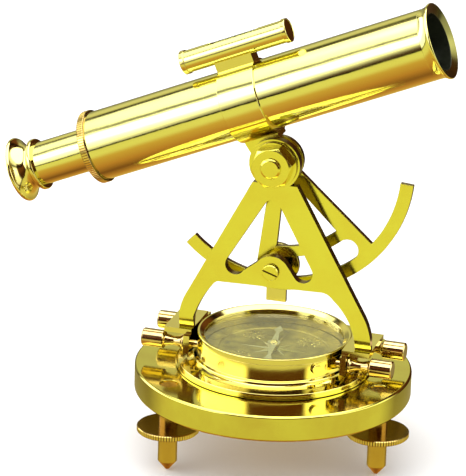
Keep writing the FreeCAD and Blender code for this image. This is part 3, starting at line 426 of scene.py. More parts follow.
@dataclass(frozen=True)
class Filled(Finish):
    """Dull filler or blacking, slightly uneven."""

    colour: Colour = (0.02, 0.018, 0.012, 1.0)
    other: Colour = (0.06, 0.055, 0.03, 1.0)
    rough: float = 0.45
    metallic: float = 0.0

    def dress(self, n: Nodes, shader: bpy.types.Node) -> None:
        """Fills the node tree."""
        coordinate = self.place(n)
        grain = n.add("ShaderNodeTexNoise", in_0=coordinate)
        grain.inputs["Scale"].default_value = 700.0
        grain.inputs["Detail"].default_value = 4.0
        n.join(n.mix(grain.outputs[0], self.colour, self.other), shader.inputs["Base Color"])
        n.join(n.math("MULTIPLY_ADD", grain.outputs[0], 0.3, self.rough - 0.15), shader.inputs["Roughness"])
        bump = n.add("ShaderNodeBump")
        bump.inputs["Distance"].default_value = 0.00002
        n.join(grain.outputs[0], bump.inputs["Height"])
        n.join(bump.outputs[0], shader.inputs["Normal"])
        shader.inputs["Metallic"].default_value = self.metallic


@dataclass(frozen=True)
class Glass(Finish):
    """Clear or tinted glass with faint wiping marks."""

    tint: Colour = (0.98, 1.0, 0.96, 1.0)
    index: float = 1.5
    smear: float = 0.02

    def dress(self, n: Nodes, shader: bpy.types.Node) -> None:
        """Fills the node tree."""
        coordinate = self.place(n)
        wipe = n.add("ShaderNodeTexNoise", in_0=coordinate)
        wipe.inputs["Scale"].default_value = 90.0
        wipe.inputs["Detail"].default_value = 3.0
        n.join(n.math("MULTIPLY_ADD", wipe.outputs[0], self.smear, -self.smear * 0.4, clamp=True),
               shader.inputs["Roughness"])
        deeper = tuple(0.96 * level for level in self.tint[:3]) + (1.0,)
        n.join(n.mix(wipe.outputs[0], self.tint, deeper), shader.inputs["Base Color"])
        shader.inputs["Metallic"].default_value = 0.0
        shader.inputs["Transmission Weight"].default_value = 1.0
        shader.inputs["IOR"].default_value = self.index


TUBE_TURN = math.radians(23.2)
PLATE = Brass("lemon_plate_brass", clean=(0.82, 0.79, 0.13, 1.0), tarnish=(0.80, 0.62, 0.08, 1.0),
              amount=0.35,
              polish=0.10, spread=0.08, ripple=0.00015)
TURNED = Brass("turned_brass", clean=(0.76, 0.68, 0.22, 1.0), tarnish=(0.58, 0.38, 0.11, 1.0),
               ripple=0.00006)
TUBE = Brass("drawn_tube_brass", clean=(0.80, 0.77, 0.27, 1.0), tarnish=(0.72, 0.60, 0.16, 1.0),
             turn=TUBE_TURN,
             along=(0.25, 1.0, 1.0), ripple=0.00008, ripple_size=90.0)
GOLD = Brass("golden_base_brass", clean=(0.66, 0.61, 0.12, 1.0), tarnish=(0.50, 0.35, 0.07, 1.0),
             amount=0.4,
             ripple=0.0001)
AMBER = Brass("amber_stud_brass", clean=(0.56, 0.37, 0.07, 1.0), tarnish=(0.34, 0.18, 0.04, 1.0),
              amount=0.4,
              polish=0.14)
KNURLED = KnurledBrass("knurled_edge_brass", clean=(0.74, 0.56, 0.16, 1.0), tarnish=(0.40, 0.25, 0.06, 1.0),
                       amount=0.5, polish=0.16)
DIAL = DialBrass("stippled_dial")
# painted shade: dark brown brass for the sawn sides of plates, standing in for the dark reflections they show
PAINTED_SHADE_EDGE = Brass("painted_shade_edge_brass", clean=(0.26, 0.19, 0.06, 1.0), tarnish=(0.12, 0.06, 0.02, 1.0),
             amount=0.6,
             polish=0.2)
SCREW = Brass("screw_brass", clean=(0.70, 0.56, 0.24, 1.0), tarnish=(0.38, 0.20, 0.08, 1.0), amount=0.7)
# painted shade: dark olive brass for the objective's sloping rim, standing in for the dark reflection it
# shows
PAINTED_SHADE_RIM = Brass("painted_shade_rim_brass", clean=(0.24, 0.23, 0.07, 1.0), tarnish=(0.16, 0.13, 0.04, 1.0),
               polish=0.12)
FILLER = Filled("engraving_filler")
BLACKED = Filled("blacked_bore", colour=(0.012, 0.014, 0.008, 1.0), other=(0.03, 0.035, 0.018, 1.0),
                 rough=0.35,
                 metallic=0.6)
SILVERED = Brass("silvered_needle", clean=(0.86, 0.85, 0.70, 1.0), tarnish=(0.55, 0.52, 0.34, 1.0),
                 polish=0.12)
WINDOW = Glass("compass_window")
COATED = Glass("coated_lens", tint=(0.80, 0.92, 0.78, 1.0))
VIAL = Glass("vial_glass")
SPIRIT = Glass("vial_spirit", tint=(0.72, 0.80, 0.30, 1.0), index=1.36, smear=0.0)


# -------------------------------------------------------------------------------- shaping

@dataclass
class Axis:
    """A straight axis for turned work: a point where its own length is zero, and its direction."""

    origin: Vector
    direction: Vector

    def matrix(self) -> Matrix:
        """The transform that takes work turned about Z to this axis.

        Returns:
            A rigid transform.
        """
        turn = Vector((0, 0, 1)).rotation_difference(self.direction.normalized()).to_matrix().to_4x4()
        return Matrix.Translation(self.origin) @ turn


class Work:
    """A bmesh on the bench, with the operations that shape every piece."""

    def __init__(self) -> None:
        """Starts with nothing."""
        self.bm = bmesh.new()

    @classmethod
    def turned(cls, profile: Profile, steps: int = 160) -> "Work":
        """Turns a closed profile about Z.

        Args:
            profile: Corners as length along the axis, radius and corner rounding, in millimetres.
            steps: Divisions of the full turn.

        Returns:
            The turned work.
        """
        work = cls()
        bm = work.bm
        verts = [bm.verts.new((radius * MM, 0.0, length * MM)) for length, radius, _ in profile]
        for a, b in zip(verts, verts[1:] + verts[:1]):
            if not (a.co.x < 1e-9 and b.co.x < 1e-9):
                bm.edges.new((a, b))
        sizes = sorted({rounding for _, _, rounding in profile if rounding > 0})
        for size in sizes:
            corners = [v for v, (_, _, rounding) in zip(verts, profile) if rounding == size]
            bmesh.ops.bevel(bm, geom=corners, offset=size * MM, segments=3 if size < 0.6 else 8,
                            profile=0.5,
                            affect="VERTICES", material=-1)
        bmesh.ops.spin(bm, geom=bm.verts[:] + bm.edges[:], angle=2 * math.pi, steps=steps, axis=(0, 0, 1),
                       cent=(0, 0, 0), use_merge=True)
        bmesh.ops.remove_doubles(bm, verts=bm.verts, dist=1e-7)
        bmesh.ops.recalc_face_normals(bm, faces=bm.faces)
        return work

    @classmethod
    def from_node(cls, node: str, rounding: float = 0.25) -> "Work":
        """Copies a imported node, merged, with its sharp edges rounded.

        Args:
            node: The CAD node.
            rounding: Width of the rounding in millimetres.

        Returns:
            The copied work, already in place.
        """
        work = cls()
        bm = work.bm
        bm.from_mesh(frame["nodes"][node].data)
        bmesh.ops.remove_doubles(bm, verts=bm.verts, dist=2e-6)
        bmesh.ops.dissolve_limit(bm, angle_limit=math.radians(0.4), verts=bm.verts, edges=bm.edges)
        if rounding:
            sharp = [e for e in bm.edges
                     if len(e.link_faces) == 2 and e.calc_face_angle(0.0) > math.radians(32)]
            bmesh.ops.bevel(bm, geom=sharp, offset=rounding * MM, segments=2, profile=0.5, affect="EDGES",
                            material=-1, clamp_overlap=True)
        return work

    def place(self, axis: Axis) -> "Work":
        """Moves work turned about Z to an axis.

        Args:
            axis: Where it goes.

        Returns:
            The same work.
        """
        bmesh.ops.transform(self.bm, matrix=axis.matrix(), verts=self.bm.verts)
        return self

    def line_bore(self, rim: bool = False) -> "Work":
        """Gives the faces that look towards Z, before placing, the second finish.

        Args:
            rim: Whether the faces that slope towards Z get the third finish, a painted shade.

        Returns:
            The same work.
        """
        self.bm.normal_update()
        for face in self.bm.faces:
            centre = face.calc_center_median()
            outward = Vector((centre.x, centre.y, 0.0))
            lean = face.normal.dot(outward.normalized()) if outward.length > 1e-6 else 0.0
            if lean < BORE_LEAN:
                face.material_index = 1
            # sloping rim faces take the painted shade finish
            elif rim and RIM_LEAN[0] < lean < RIM_LEAN[1] and face.normal.z > 0:
                face.material_index = 2
        return self

    def line_edges(self) -> "Work":
        """Gives a plate's side faces, which look away from Y, the second finish, a painted shade that darkens
        them like dark reflections.

        Returns:
            The same work.
        """
        self.bm.normal_update()
        for face in self.bm.faces:
            # side faces take the painted shade finish
            if abs(face.normal.y) < SIDE_FACING:
                face.material_index = 1
        return self

    def finish(self, name: str, body: str, slot: Slot, finishes: Iterable[Finish],
               nodes: Iterable[str] = (), weighted: bool = True) -> bpy.types.Object:
        """Makes the object, dresses it, and ties it to its body and nodes.

        Args:
            name: The piece's name.
            body: The CAD body it rides on.
            slot: The record's material slot; not used.
            finishes: Its finishes, by material index.
            nodes: The CAD nodes it stands for.
            weighted: Whether flat faces keep flat shading beside rounded edges.

        Returns:
            The finished object.
        """
        for edge in self.bm.edges:
            edge.smooth = not (len(edge.link_faces) == 2 and edge.calc_face_angle(0.0) > SHARP_EDGE)
        for face in self.bm.faces:
            face.smooth = True
        mesh = bpy.data.meshes.new(name)
        self.bm.to_mesh(mesh)
        self.bm.free()
        piece = bpy.data.objects.new(name, mesh)
        bpy.context.scene.collection.objects.link(piece)
        for finish in finishes:
            mesh.materials.append(finish.material())
        if weighted:
            modifier = piece.modifiers.new("flat_faces", "WEIGHTED_NORMAL")
            modifier.keep_sharp = True
            modifier.weight = 80
        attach(piece, body)
        nodes = list(nodes)
        if nodes:
            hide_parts(*nodes)
        LOG.info("%s on %s: %d faces", name, body, len(mesh.polygons))
        return piece


def centre_of(node: str) -> Vector:
    """The middle of a node's box.

    Args:
        node: The CAD node.

    Returns:
        The point, in metres.
    """
    low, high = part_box(node)
    return (low + high) / 2


def copy_of(node: str, body: str, finish: Finish, rounding: float = 0.25, slot: Slot = Slot.POLISHED) \
        -> bpy.types.Object:
    """A rounded copy of one CAD node, in its place.

    Args:
        node: The CAD node.
        body: Its body.
        finish: Its finish.
        rounding: Edge rounding in millimetres.
        slot: Its material slot.

    Returns:
        The piece.
    """
    return Work.from_node(node, rounding).finish(f"{node}_dressed", body, slot, [finish], [node])


def plate_of(node: str, body: str, finish: Finish, rounding: float) -> bpy.types.Object:
    """A rounded copy of one flat CAD node whose sawn edges carry painted shade, darkened like dark
    reflections.

    Args:
        node: The CAD node.
        body: Its body.
        finish: Its face finish.
        rounding: Edge rounding in millimetres.

    Returns:
        The piece.
    """
    work = Work.from_node(node, rounding).line_edges()
    return work.finish(f"{node}_dressed", body, Slot.POLISHED, [finish, PAINTED_SHADE_EDGE], [node])


# -------------------------------------------------------------------------------- sub-assemblies

@dataclass
class Telescope:
    """The main tube with its mounts, rings and lenses, and the sliding eye end."""

    tube_radius: float = 15.9
    tube_bore: float = 15.0
    tube_start: float = -80.5
    tube_end: float = 85.0
    collar: tuple[float, float] = (-12.2, 5.8)
    collar_radius: float = 16.9

    def __post_init__(self) -> None:
        """Finds the telescope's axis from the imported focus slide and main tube."""
        slide = next(j for j in frame["joints"] if j["name"] == "focus")
        direction = -Vector(slide["axis"]).normalized()
        middle = (self.tube_start + self.tube_end) / 2 * MM
        self.axis = Axis(centre_of("main_tube") - direction * middle, direction)

    def turn(self, node: str, body: str, profile: Profile, finishes: list[Finish], lined: bool = False,
             steps: int = 160, rim: bool = False) -> bpy.types.Object:
        """Turns one piece on the telescope's axis in place of its node.

        Args:
            node: The CAD node.
            body: Its body.
            profile: Its closed profile.
            finishes: Its finishes, by material index.
            lined: Whether its bore takes the second finish.
            steps: Divisions of the full turn.
            rim: Whether its sloping rim takes the third finish.

        Returns:
            The piece.
        """
        work = Work.turned(profile, steps)
        if lined:
            work.line_bore(rim)
        return work.place(self.axis).finish(f"{node}_dressed", body, Slot.POLISHED, finishes, [node])

    def build(self) -> None:
        """Builds the fixed pieces and the draw."""
        self.tube()
        self.objective()
        self.eye_end()

    def tube(self) -> None:
        """The tube, its collar and the knurled end ring."""
        start, end, radius, bore = self.tube_start, self.tube_end, self.tube_radius, self.tube_bore
        self.turn("main_tube", "telescope", [(start, bore, 0), (end, bore, 0), (end, radius, 0.1),
                                             (start, radius, 0.1)], [TUBE, BLACKED], lined=True, steps=192)
        low, high = self.collar
        rim = self.collar_radius
        self.turn("collar", "telescope", [(low, radius, 0), (high, radius, 0), (high, rim, 0.25),
                                          (low, rim, 0.25)],
                  [TUBE])
        ring = Work.from_node("knurled_ring", 0.0)
        # painted shade, deeper towards the bottom of each knurl groove
        layer = ring.bm.verts.layers.float.new("painted_shade")
        outer = 17.0 * MM
        for vert in ring.bm.verts:
            away = vert.co - self.axis.origin
            radial = (away - away.project(self.axis.direction)).length
            vert[layer] = max(0.0, min(1.0, (outer - radial) / (0.25 * MM))) if radial > 16.5 * MM else 0.0
        ring.finish("knurled_ring_dressed", "telescope", Slot.KNURLED, [KNURLED], ["knurled_ring"])
        self.turn("ring_spigot", "telescope", [(start, 9.95, 0), (start + 9, 9.95, 0), (start + 9, bore, 0),
                                               (start, bore, 0)], [TUBE, BLACKED], lined=True)

    def objective(self) -> None:
        """Bell, cell, retaining ring and lens."""
        end = self.tube_end
        # the bell's sloping rim takes painted shade
        self.turn("objective_bell", "telescope",
                  [(end, 15.0, 0), (end, 15.9, 0), (end + 2.6, 15.95, 3.0), (end + 4.1, 17.28, 0.35),
                   (end + 4.9, 17.3, 0.3), (end + 5.2, 16.9, 0.2), (end + 3.6, 12.9, 0.2), (end, 12.9, 0)],
                  [TUBE, BLACKED, PAINTED_SHADE_RIM], lined=True, steps=192, rim=True)
        self.turn("lens_retainer", "telescope", [(80.5, 12.9, 0.15), (end, 12.9, 0), (end, 14.2, 0),
                                                 (80.5, 14.2, 0)],
                  [BLACKED])
        self.turn("lens_cell", "telescope", [(76.2, 12.6, 0), (79.2, 12.6, 0), (79.2, 14.2, 0),
                                             (end, 14.2, 0),
                                             (end, 15.0, 0), (76.2, 15.0, 0)], [BLACKED])
        for node, body in (("objective_lens", "telescope"), ("eye_lens", "draw"), ("field_lens", "draw")):
            copy_of(node, body, COATED, 0.0, Slot.GLASS)

    def eye_end(self) -> None:
        """Draw tube, bead, trumpet cup and the guide ring inside."""
        self.turn("draw_tube", "draw", [(-111, 8.9, 0), (-46, 8.9, 0), (-46, 9.9, 0.1), (-111, 9.9, 0.1)],
                  [TUBE, BLACKED], lined=True)
        self.turn("draw_guide", "draw", [(-52, 9.9, 0), (-46, 9.9, 0), (-46, 14.95, 0.2),
                                         (-52, 14.95, 0.2)], [TUBE])
        self.turn("bead_ring", "draw", [(-112.9, 7.8, 0), (-112.9, 12.0, 0.8), (-110.6, 12.0, 0.8),
                                        (-110.6, 9.9, 0),
                                        (-111, 9.9, 0), (-111, 7.8, 0)], [TURNED])
        self.turn("eyepiece_cup", "draw",
                  [(-112.9, 6.4, 0), (-112.9, 10.4, 0.15), (-114.6, 9.3, 1.6), (-117.2, 10.6, 2.0),
                   (-119.3, 12.9, 1.5),
                   (-120.4, 14.9, 0.5), (-121.4, 15.0, 0.3), (-121.7, 14.6, 0.2), (-120.0, 12.2, 1.5),
                   (-117.6, 9.6, 1.6), (-116.0, 8.6, 0.4), (-115.3, 8.4, 0.2), (-115.3, 6.4, 0.2)],
                   [TURNED],
                  steps=192)


@dataclass
class Level:
    """The spirit level on its pad."""

    half_length: float = 24.6
    cap_radius: float = 5.55

    def __post_init__(self) -> None:
        """Finds the level's own axis."""
        slide = next(j for j in frame["joints"] if j["name"] == "focus")
        self.axis = Axis(centre_of("level_vial"), -Vector(slide["axis"]).normalized())

    def build(self) -> None:
        """Builds case, caps, pad, vial and spirit."""
        copy_of("level_tube", "telescope", TUBE, 0.12)
        copy_of("level_pad", "telescope", TURNED, 0.2)
        copy_of("level_screws", "telescope", TURNED, 0.0)
        half, rim = self.half_length, self.cap_radius
        for side, node in ((1, "level_cap_objective"), (-1, "level_cap_eye")):
            profile = [(half - 2.4, 0, 0), (half - 2.4, 4.3, 0.2), (half - 0.6, 4.3, 0),
                       (half - 0.6, rim, 0.3),
                       (half + 1.8, rim, 0.45), (half + 1.8, 4.9, 0.12), (half + 1.62, 4.75, 0.12),
                       (half + 1.62, 0, 0)]
            axis = Axis(self.axis.origin, self.axis.direction * side)
            Work.turned(profile, 96).place(axis).finish(f"{node}_dressed", "telescope", Slot.POLISHED,
                                                        [TURNED],
                                                        [node])
        reach = half - 2.6
        shell = [(-reach, 0, 0), (-reach, 3.9, 1.0), (reach, 3.9, 1.0), (reach, 0, 0)]
        Work.turned(shell, 64).place(self.axis).finish("level_vial_dressed", "telescope", Slot.GLASS,
                                                       [VIAL],
                                                       ["level_vial"])
        inner = reach - 0.9
        spirit = [(-inner, 0, 0), (-inner, 3.1, 0.9), (inner, 3.1, 0.9), (inner, 0, 0)]
        Work.turned(spirit, 64).place(self.axis).finish("vial_spirit", "telescope", Slot.GLASS, [SPIRIT])
        self.bands()

    def bands(self) -> None:
        """Two dark lines round the vial that mark the bubble's middle."""
        for place in (-4.0, 4.0):
            ring = [(place - 0.15, 3.92, 0), (place + 0.15, 3.92, 0), (place + 0.15, 3.98, 0),
                    (place - 0.15, 3.98, 0)]
            name = "vial_line_eye" if place < 0 else "vial_line_objective"
            Work.turned(ring, 64).place(self.axis).finish(name, "telescope", Slot.GLASS, [FILLER])


@dataclass
class Compass:
    """Bowl, bezel, glass, dial, needle and the turntable under them."""

    bowl_radius: float = 35.3
    bore: float = 32.2
    letter_height: float = 3.6
    star_reach: float = 17.0

    def build(self) -> None:
        """Builds every piece of the compass."""
        upright = Axis(Vector((0, 0, 0)), Vector((0, 0, 1)))
        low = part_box("compass_bowl")[0].z / MM
        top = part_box("compass_bezel")[1].z / MM
        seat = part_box("compass_glass")[0].z / MM
        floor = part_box("compass_dial")[0].z / MM
        radius, bore = self.bowl_radius, self.bore
        profile = [(low, 0, 0), (low, 43.7, 0.1), (low + 1.2, 43.7, 0.25), (low + 1.75, 38.4, 1.5),
                   (low + 2.9, 36.5, 0.2), (low + 3.2, 36.9, 0.25), (low + 3.9, 36.7, 0.2),
                   (low + 4.3, radius, 0.15),
                   (seat + 1.6, radius, 0.1), (seat + 1.6, 33.3, 0), (seat, 33.3, 0), (seat, bore, 0.1),
                   (floor, bore, 0), (floor, 0, 0)]
        Work.turned(profile, 192).place(upright).finish("compass_bowl_dressed", "alidade", Slot.POLISHED,
                                                        [TURNED],
                                                        ["compass_bowl"])
        base = seat + 1.6
        bezel = [(base, 32.0, 0), (base, radius, 0.1), (top, radius, 0.45), (top, radius - 1.1, 0.4),
                 (base + 1.2, 32.0, 0.2)]
        Work.turned(bezel, 192).place(upright).finish("compass_bezel_dressed", "alidade", Slot.POLISHED,
                                                      [TURNED],
                                                      ["compass_bezel"])
        Work.turned([(seat, 0, 0), (seat, 33.3, 0.1), (base, 33.3, 0.1), (base, 0, 0)],
                    96).place(upright).finish(
            "compass_glass_dressed", "alidade", Slot.GLASS, [WINDOW], ["compass_glass"])
        copy_of("turntable_plate", "alidade", GOLD, 0.1)
        copy_of("azimuth_spindle", "alidade", TURNED, 0.15)
        copy_of("bezel_screw", "alidade", TURNED, 0.2)
        self.dial(upright, floor)
        self.needle()

    def dial(self, upright: Axis, floor: float) -> None:
        """The dial disc with its raised ring, star, ticks and letters.

        Args:
            upright: The compass axis.
            floor: Height of the dial's underside, in millimetres.
        """
        top = floor + 1.0
        profile = [(floor, 1.0, 0), (floor, 31.8, 0), (top + 0.5, 31.8, 0.1), (top + 0.5, 25.4, 0.1),
                   (top, 24.9, 0.1), (top, 1.0, 0)]
        Work.turned(profile, 144).place(upright).finish("compass_dial_dressed", "alidade", Slot.DIAL,
                                                        [DIAL],
                                                        ["compass_dial"])
        self.ticks((top + 0.5) * MM)
        self.star(top * MM)
        self.rosettes(top * MM)
        self.letters((top + 0.02) * MM)

    def ticks(self, height: float) -> None:
        """Filled degree marks on the raised ring.

        Args:
            height: Top of the ring, in metres.
        """
        work = Work()
        for step in range(72):
            long = step % 6 == 0
            length = (3.2 if long else 1.8) * MM
            shape = Matrix.Rotation(math.radians(5 * step), 4, "Z") @ Matrix.Translation(
                (31.0 * MM - length / 2, 0, height)) @ Matrix.Diagonal((length, 0.28 * MM, 0.06 * MM, 1))
            bmesh.ops.create_cube(work.bm, size=1.0, matrix=shape)
        work.finish("dial_degree_marks", "alidade", Slot.DIAL, [FILLER], weighted=False)

    def star(self, height: float) -> None:
        """Raised eight-pointed star, each point of two sloping halves.

        Args:
            height: Top of the dial, in metres.
        """
        work = Work()
        bm = work.bm
        for ray in range(8):
            reach = (self.star_reach if ray % 2 == 0 else self.star_reach * 0.66) * MM
            turn = math.radians(45 * ray)
            side = math.radians(22.5)
            waist = 3.4 * MM
            centre = bm.verts.new((0, 0, height + 0.5 * MM))
            point = bm.verts.new((reach * math.cos(turn), reach * math.sin(turn), height + 0.02 * MM))
            for hand in (-1, 1):
                flank = bm.verts.new((waist * math.cos(turn + hand * side),
                                      waist * math.sin(turn + hand * side),
                                      height + 0.02 * MM))
                face = bm.faces.new((centre, point, flank) if hand > 0 else (centre, flank, point))
                face.material_index = 0 if hand > 0 else 1
        bmesh.ops.remove_doubles(bm, verts=bm.verts, dist=1e-7)
        work.finish("dial_star", "alidade", Slot.DIAL, [SILVERED, GOLD], weighted=False)

    def rosettes(self, height: float) -> None:
        """Raised leaves that stand in rings between the star's long points.

        Args:
            height: Top of the dial, in metres.
        """
        work = Work()
        for quarter in range(4):
            middle = Matrix.Rotation(math.radians(45 + 90 * quarter), 4,
                                     "Z") @ Matrix.Translation((18.5 * MM, 0, height))
            for ring, count in ((4.6, 12), (2.4, 8)):
                for leaf in range(count):
                    shape = middle @ Matrix.Rotation(2 * math.pi * leaf / count, 4,
                                                     "Z") @ Matrix.Translation(
                        (ring * MM, 0, 0)) @ Matrix.Diagonal((1.25 * MM, 0.55 * MM, 0.32 * MM, 1))
                    bmesh.ops.create_icosphere(work.bm, subdivisions=1, radius=1.0, matrix=shape)
        work.finish("dial_leaf_rosettes", "alidade", Slot.DIAL, [TURNED], weighted=False)

    def letters(self, height: float) -> None:
        """The four compass letters, standing inside the raised ring.

        Args:
            height: Where the letters stand, in metres.
        """
        for letter, turn in (("N", 90), ("E", 0), ("S", 270), ("W", 180)):
            curve = bpy.data.curves.new(f"letter_{letter}", "FONT")
            curve.body, curve.size, curve.extrude = letter, self.letter_height * MM, 0.06 * MM
            curve.align_x = curve.align_y = "CENTER"
            holder = bpy.data.objects.new(f"letter_{letter}", curve)
            bpy.context.scene.collection.objects.link(holder)
            bpy.context.view_layer.update()
            graph = bpy.context.evaluated_depsgraph_get()
            mesh = bpy.data.meshes.new_from_object(holder.evaluated_get(graph))
            bpy.data.objects.remove(holder)
            work = Work()
            work.bm.from_mesh(mesh)
            spot = Matrix.Rotation(math.radians(turn), 4, "Z") @ Matrix.Translation((21.8 * MM, 0, height))
            work.bm.transform(spot @ Matrix.Rotation(math.radians(-90), 4, "Z"))
            work.finish(f"dial_letter_{letter.lower()}", "alidade", Slot.DIAL, [FILLER], weighted=False)

    def needle(self) -> None:
        """Pivot pin, spade-tipped needle and its cap."""
        copy_of("compass_pivot", "alidade", TURNED, 0.0)
        copy_of("compass_needle", "needle", SILVERED, 0.12, Slot.NEEDLE)
        copy_of("needle_cap", "needle", TURNED, 0.1)


@dataclass
class Stand:
    """Base disc, levelling screws and the azimuth bearing."""

    wheel_radius: float = 14.2
    knurl_depth: float = 0.35
    # painted shade on the wheel's flat faces, as if shaded by the base above
    face_shade: float = 0.7

    def build(self) -> None:
        """Builds the base and its three screws."""
        copy_of("base_disc", "base", GOLD, 0.3)
        copy_of("azimuth_bush", "base", TURNED, 0.1)
        copy_of("azimuth_washer", "alidade", TURNED, 0.15)
        copy_of("azimuth_nut", "alidade", TURNED, 0.25)
        for number in (1, 2, 3):
            self.screw(number)

    def screw(self, number: int) -> None:
        """One levelling screw: the coned stud and the knurled wheel on it.

        Args:
            number: Which of the three.
        """
        copy_of(f"levelling_stud_{number}", f"foot_{number}", AMBER, 0.15)
        node = f"levelling_wheel_{number}"
        work = Work.from_node(node, 0.0)
        # painted shade, deeper towards the bottom of each knurl groove
        layer = work.bm.verts.layers.float.new("painted_shade")
        middle = centre_of(node)
        for vert in work.bm.verts:
            radial = math.hypot(vert.co.x - middle.x, vert.co.y - middle.y) / MM
            depth = (self.wheel_radius - radial) / self.knurl_depth
            # flat faces inside the knurl take face_shade, a painted shade
            vert[layer] = max(0.0, min(1.0, depth)) if radial > self.wheel_radius - 0.38 else self.face_shade
        work.finish(f"{node}_dressed", f"foot_wheel_{number}", Slot.KNURLED, [KNURLED], [node])


@dataclass
class Frame:
    """The A-frame with its brackets, pivot, clamp and thumbscrews, and the limb behind it."""

    plate_rounding: float = 0.3

    def build(self) -> None:
        """Builds the upright parts."""
        plate_of("a_frame", "alidade", PLATE, self.plate_rounding)
        for node in ("foot_bracket_left", "foot_bracket_right"):
            copy_of(node, "alidade", TURNED, self.plate_rounding)
        for node in ("pivot_bolt", "pivot_nut"):
            copy_of(node, "alidade", PLATE, 0.35)
        copy_of("clamp_spacer", "alidade", TURNED, 0.1)
        for node in ("leg_screw_left", "leg_screw_right"):
            copy_of(node, "alidade", TURNED, 0.15)
        plate_of("clamp_screw", "clamp", PLATE, 0.12)
        plate_of("clamp_stirrup", "alidade", TURNED, 0.25)
        plate_of("limb", "telescope", PLATE, self.plate_rounding)
        copy_of("saddle_bracket", "telescope", PLATE, self.plate_rounding)
        copy_of("limb_rivets", "telescope", TURNED, 0.0)
        for side in ("left", "right"):
            for place in ("front", "back"):
                node = f"thumbscrew_{side}_{place}"
                copy_of(node, node, SCREW, 0.12)


# -------------------------------------------------------------------------------- studio

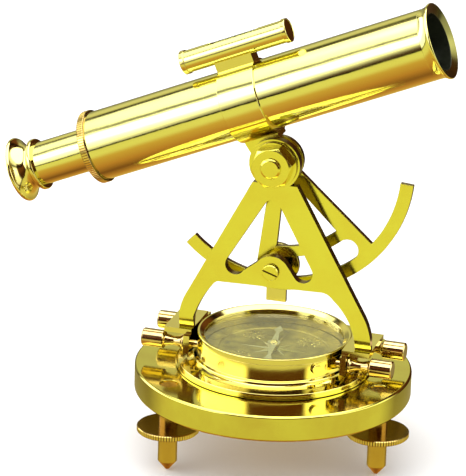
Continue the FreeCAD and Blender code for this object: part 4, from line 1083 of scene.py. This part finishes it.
@dataclass
class Studio:
    """Pale floor, soft light all round with a few darker panels, and the camera."""

    position: Vector = field(default_factory=lambda: Vector((0.3655, -1.3296, 0.5949)))
    azimuth: float = 21.37
    elevation: float = 19.75
    yaw: float = 4.857
    lens: float = 245.0
    reflected: float = 4.6
    plain: float = 1.0
    lamp_size: float = 1.2
    lamp_power: float = 4.0

    def build(self) -> None:
        """Sets up floor, surroundings and camera."""
        self.floor()
        self.surroundings()
        self.lamp()
        self.camera()

    def floor(self) -> None:
        """A wide plain floor just under the feet."""
        bm = bmesh.new()
        bmesh.ops.create_grid(bm, x_segments=1, y_segments=1, size=4.0)
        mesh = bpy.data.meshes.new("floor")
        bm.to_mesh(mesh)
        bm.free()
        floor = bpy.data.objects.new("floor", mesh)
        floor.location.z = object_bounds()[0][2] - 0.0002
        bpy.context.scene.collection.objects.link(floor)
        material = bpy.data.materials.new("pale_floor")
        material.use_nodes = True
        shader = material.node_tree.nodes["Principled BSDF"]
        shader.inputs["Base Color"].default_value = grey(0.97)
        shader.inputs["Roughness"].default_value = 0.9
        mesh.materials.append(material)
        floor.visible_glossy = False
        floor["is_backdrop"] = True

    def surroundings(self) -> None:
        """Light that differs by direction: bright panels, a dark stretch in front and warm tones below."""
        world = bpy.data.worlds.new("studio")
        bpy.context.scene.world = world
        world.use_nodes = True
        n = Nodes(world.node_tree)
        world.node_tree.nodes.clear()
        direction = n.add("ShaderNodeTexCoord").outputs["Generated"]
        turned = n.add("ShaderNodeVectorRotate", rotation_type="Z_AXIS", in_0=direction)
        turned.inputs["Angle"].default_value = math.radians(90.0 - self.azimuth + 6.0)
        parts = n.add("ShaderNodeSeparateXYZ", in_0=turned.outputs[0])
        round_about = n.math("MULTIPLY_ADD", n.math("ARCTAN2", parts.outputs[1], parts.outputs[0]),
                             0.5 / math.pi, 0.5)
        upward = n.math("MULTIPLY_ADD", n.math("ARCSINE", parts.outputs[2]), 1 / math.pi, 0.5)
        white, dark = (1.0, 1.0, 1.0, 1.0), (0.035, 0.012, 0.004, 1.0)
        olive = (0.155, 0.15, 0.085, 1.0)
        high = n.ramp(round_about, (0.0, olive), (0.10, (0.19, 0.18, 0.11, 1.0)), (0.118, dark),
                      (0.13, white),
                      (0.375, white), (0.40, dark), (0.63, dark), (0.655, (0.75, 0.75, 0.70, 1.0)),
                      (0.80, (0.6, 0.6, 0.5, 1.0)),
                      (0.84, dark), (0.945, dark), (0.97, olive))
        low = n.ramp(round_about, (0.0, (0.03, 0.015, 0.008, 1.0)), (0.16, (0.03, 0.015, 0.008, 1.0)),
                     (0.22, (0.20, 0.19, 0.075, 1.0)), (0.78, (0.20, 0.19, 0.075, 1.0)),
                     (0.84, (0.03, 0.015, 0.008, 1.0)))
        under = n.ramp(upward, (0.0, (0.05, 0.02, 0.006, 1.0)), (0.15, (0.13, 0.06, 0.015, 1.0)),
                       (0.30, (0.16, 0.10, 0.025, 1.0)), (0.38, (0.20, 0.19, 0.075, 1.0)))
        below = n.mix(n.ramp(upward, (0.33, grey(0.0)), (0.40, grey(1.0))), under, low)
        edge = n.ramp(upward, (0.458, grey(0.0)), (0.462, grey(1.0)))
        line = n.ramp(upward, (0.452, grey(1.0)), (0.456, grey(0.06)), (0.474, grey(0.06)),
                      (0.478, grey(1.0)))
        zenith = n.ramp(upward, (0.758, grey(0.0)), (0.775, grey(1.0)))
        tall = n.ramp(upward, (0.50, grey(0.42)), (0.56, grey(0.50)), (0.60, grey(1.0)), (0.665, grey(1.0)),
                      (0.685, grey(0.34)), (0.70, grey(0.05)), (0.712, grey(0.05)), (0.722, grey(0.4)),
                      (0.758, grey(0.5)))
        walls = n.mix(1.0, high, tall, "MULTIPLY")
        sky = n.mix(zenith, n.mix(edge, below, walls), (0.80, 0.80, 0.84, 1.0))
        sky = n.mix(1.0, sky, line, "MULTIPLY")
        path = n.add("ShaderNodeLightPath")
        gloss = n.add("ShaderNodeBackground", in_0=sky, in_1=self.reflected)
        plain = n.add("ShaderNodeBackground", in_0=grey(1.0), in_1=self.plain)
        seen = n.math("MAXIMUM", path.outputs["Is Camera Ray"], path.outputs["Is Diffuse Ray"])
        blend = n.add("ShaderNodeMixShader", in_0=seen)
        n.join(gloss.outputs[0], blend.inputs[1])
        n.join(plain.outputs[0], blend.inputs[2])
        output = n.add("ShaderNodeOutputWorld")
        n.join(blend.outputs[0], output.inputs[0])

    def lamp(self) -> None:
        """One large soft lamp above, for a faint shadow on the floor."""
        light = bpy.data.lights.new("soft_lamp", "AREA")
        light.shape, light.size, light.energy = "SQUARE", self.lamp_size, self.lamp_power
        lamp = bpy.data.objects.new("soft_lamp", light)
        lamp.location = (-0.5, -0.5, 1.4)
        lamp.rotation_euler = (Vector((0, 0, 0.1)) - lamp.location).to_track_quat("-Z", "Y").to_euler()
        lamp.visible_glossy = False
        bpy.context.scene.collection.objects.link(lamp)

    def camera(self) -> None:
        """The camera, turned about its own upright so that the picture needs no shift."""
        a, e = math.radians(self.azimuth), math.radians(self.elevation)
        back = Vector((math.sin(a) * math.cos(e), -math.cos(a) * math.cos(e), math.sin(e)))
        right = Vector((math.cos(a), math.sin(a), 0.0))
        up = back.cross(right)
        back = Matrix.Rotation(-math.radians(self.yaw), 3, up) @ back
        right = up.cross(back)
        data = bpy.data.cameras.new("camera")
        data.lens, data.sensor_width, data.clip_start, data.clip_end = self.lens, 36.0, 0.05, 20.0
        camera = bpy.data.objects.new("camera", data)
        camera.matrix_world = Matrix.Translation(self.position) @ Matrix((right, up,
                                                                          back)).transposed().to_4x4()
        bpy.context.scene.collection.objects.link(camera)
        bpy.context.scene.camera = camera
        bpy.context.scene.view_settings.view_transform = "Standard"


def main() -> None:
    """Builds the instrument and the studio."""
    logging.basicConfig(level=logging.INFO, format="%(message)s")
    Studio().build()
    for part in (Stand(), Compass(), Frame(), Telescope(), Level()):
        part.build()
        LOG.info("built %s", type(part).__name__)


if __name__ == "__main__":
    main()
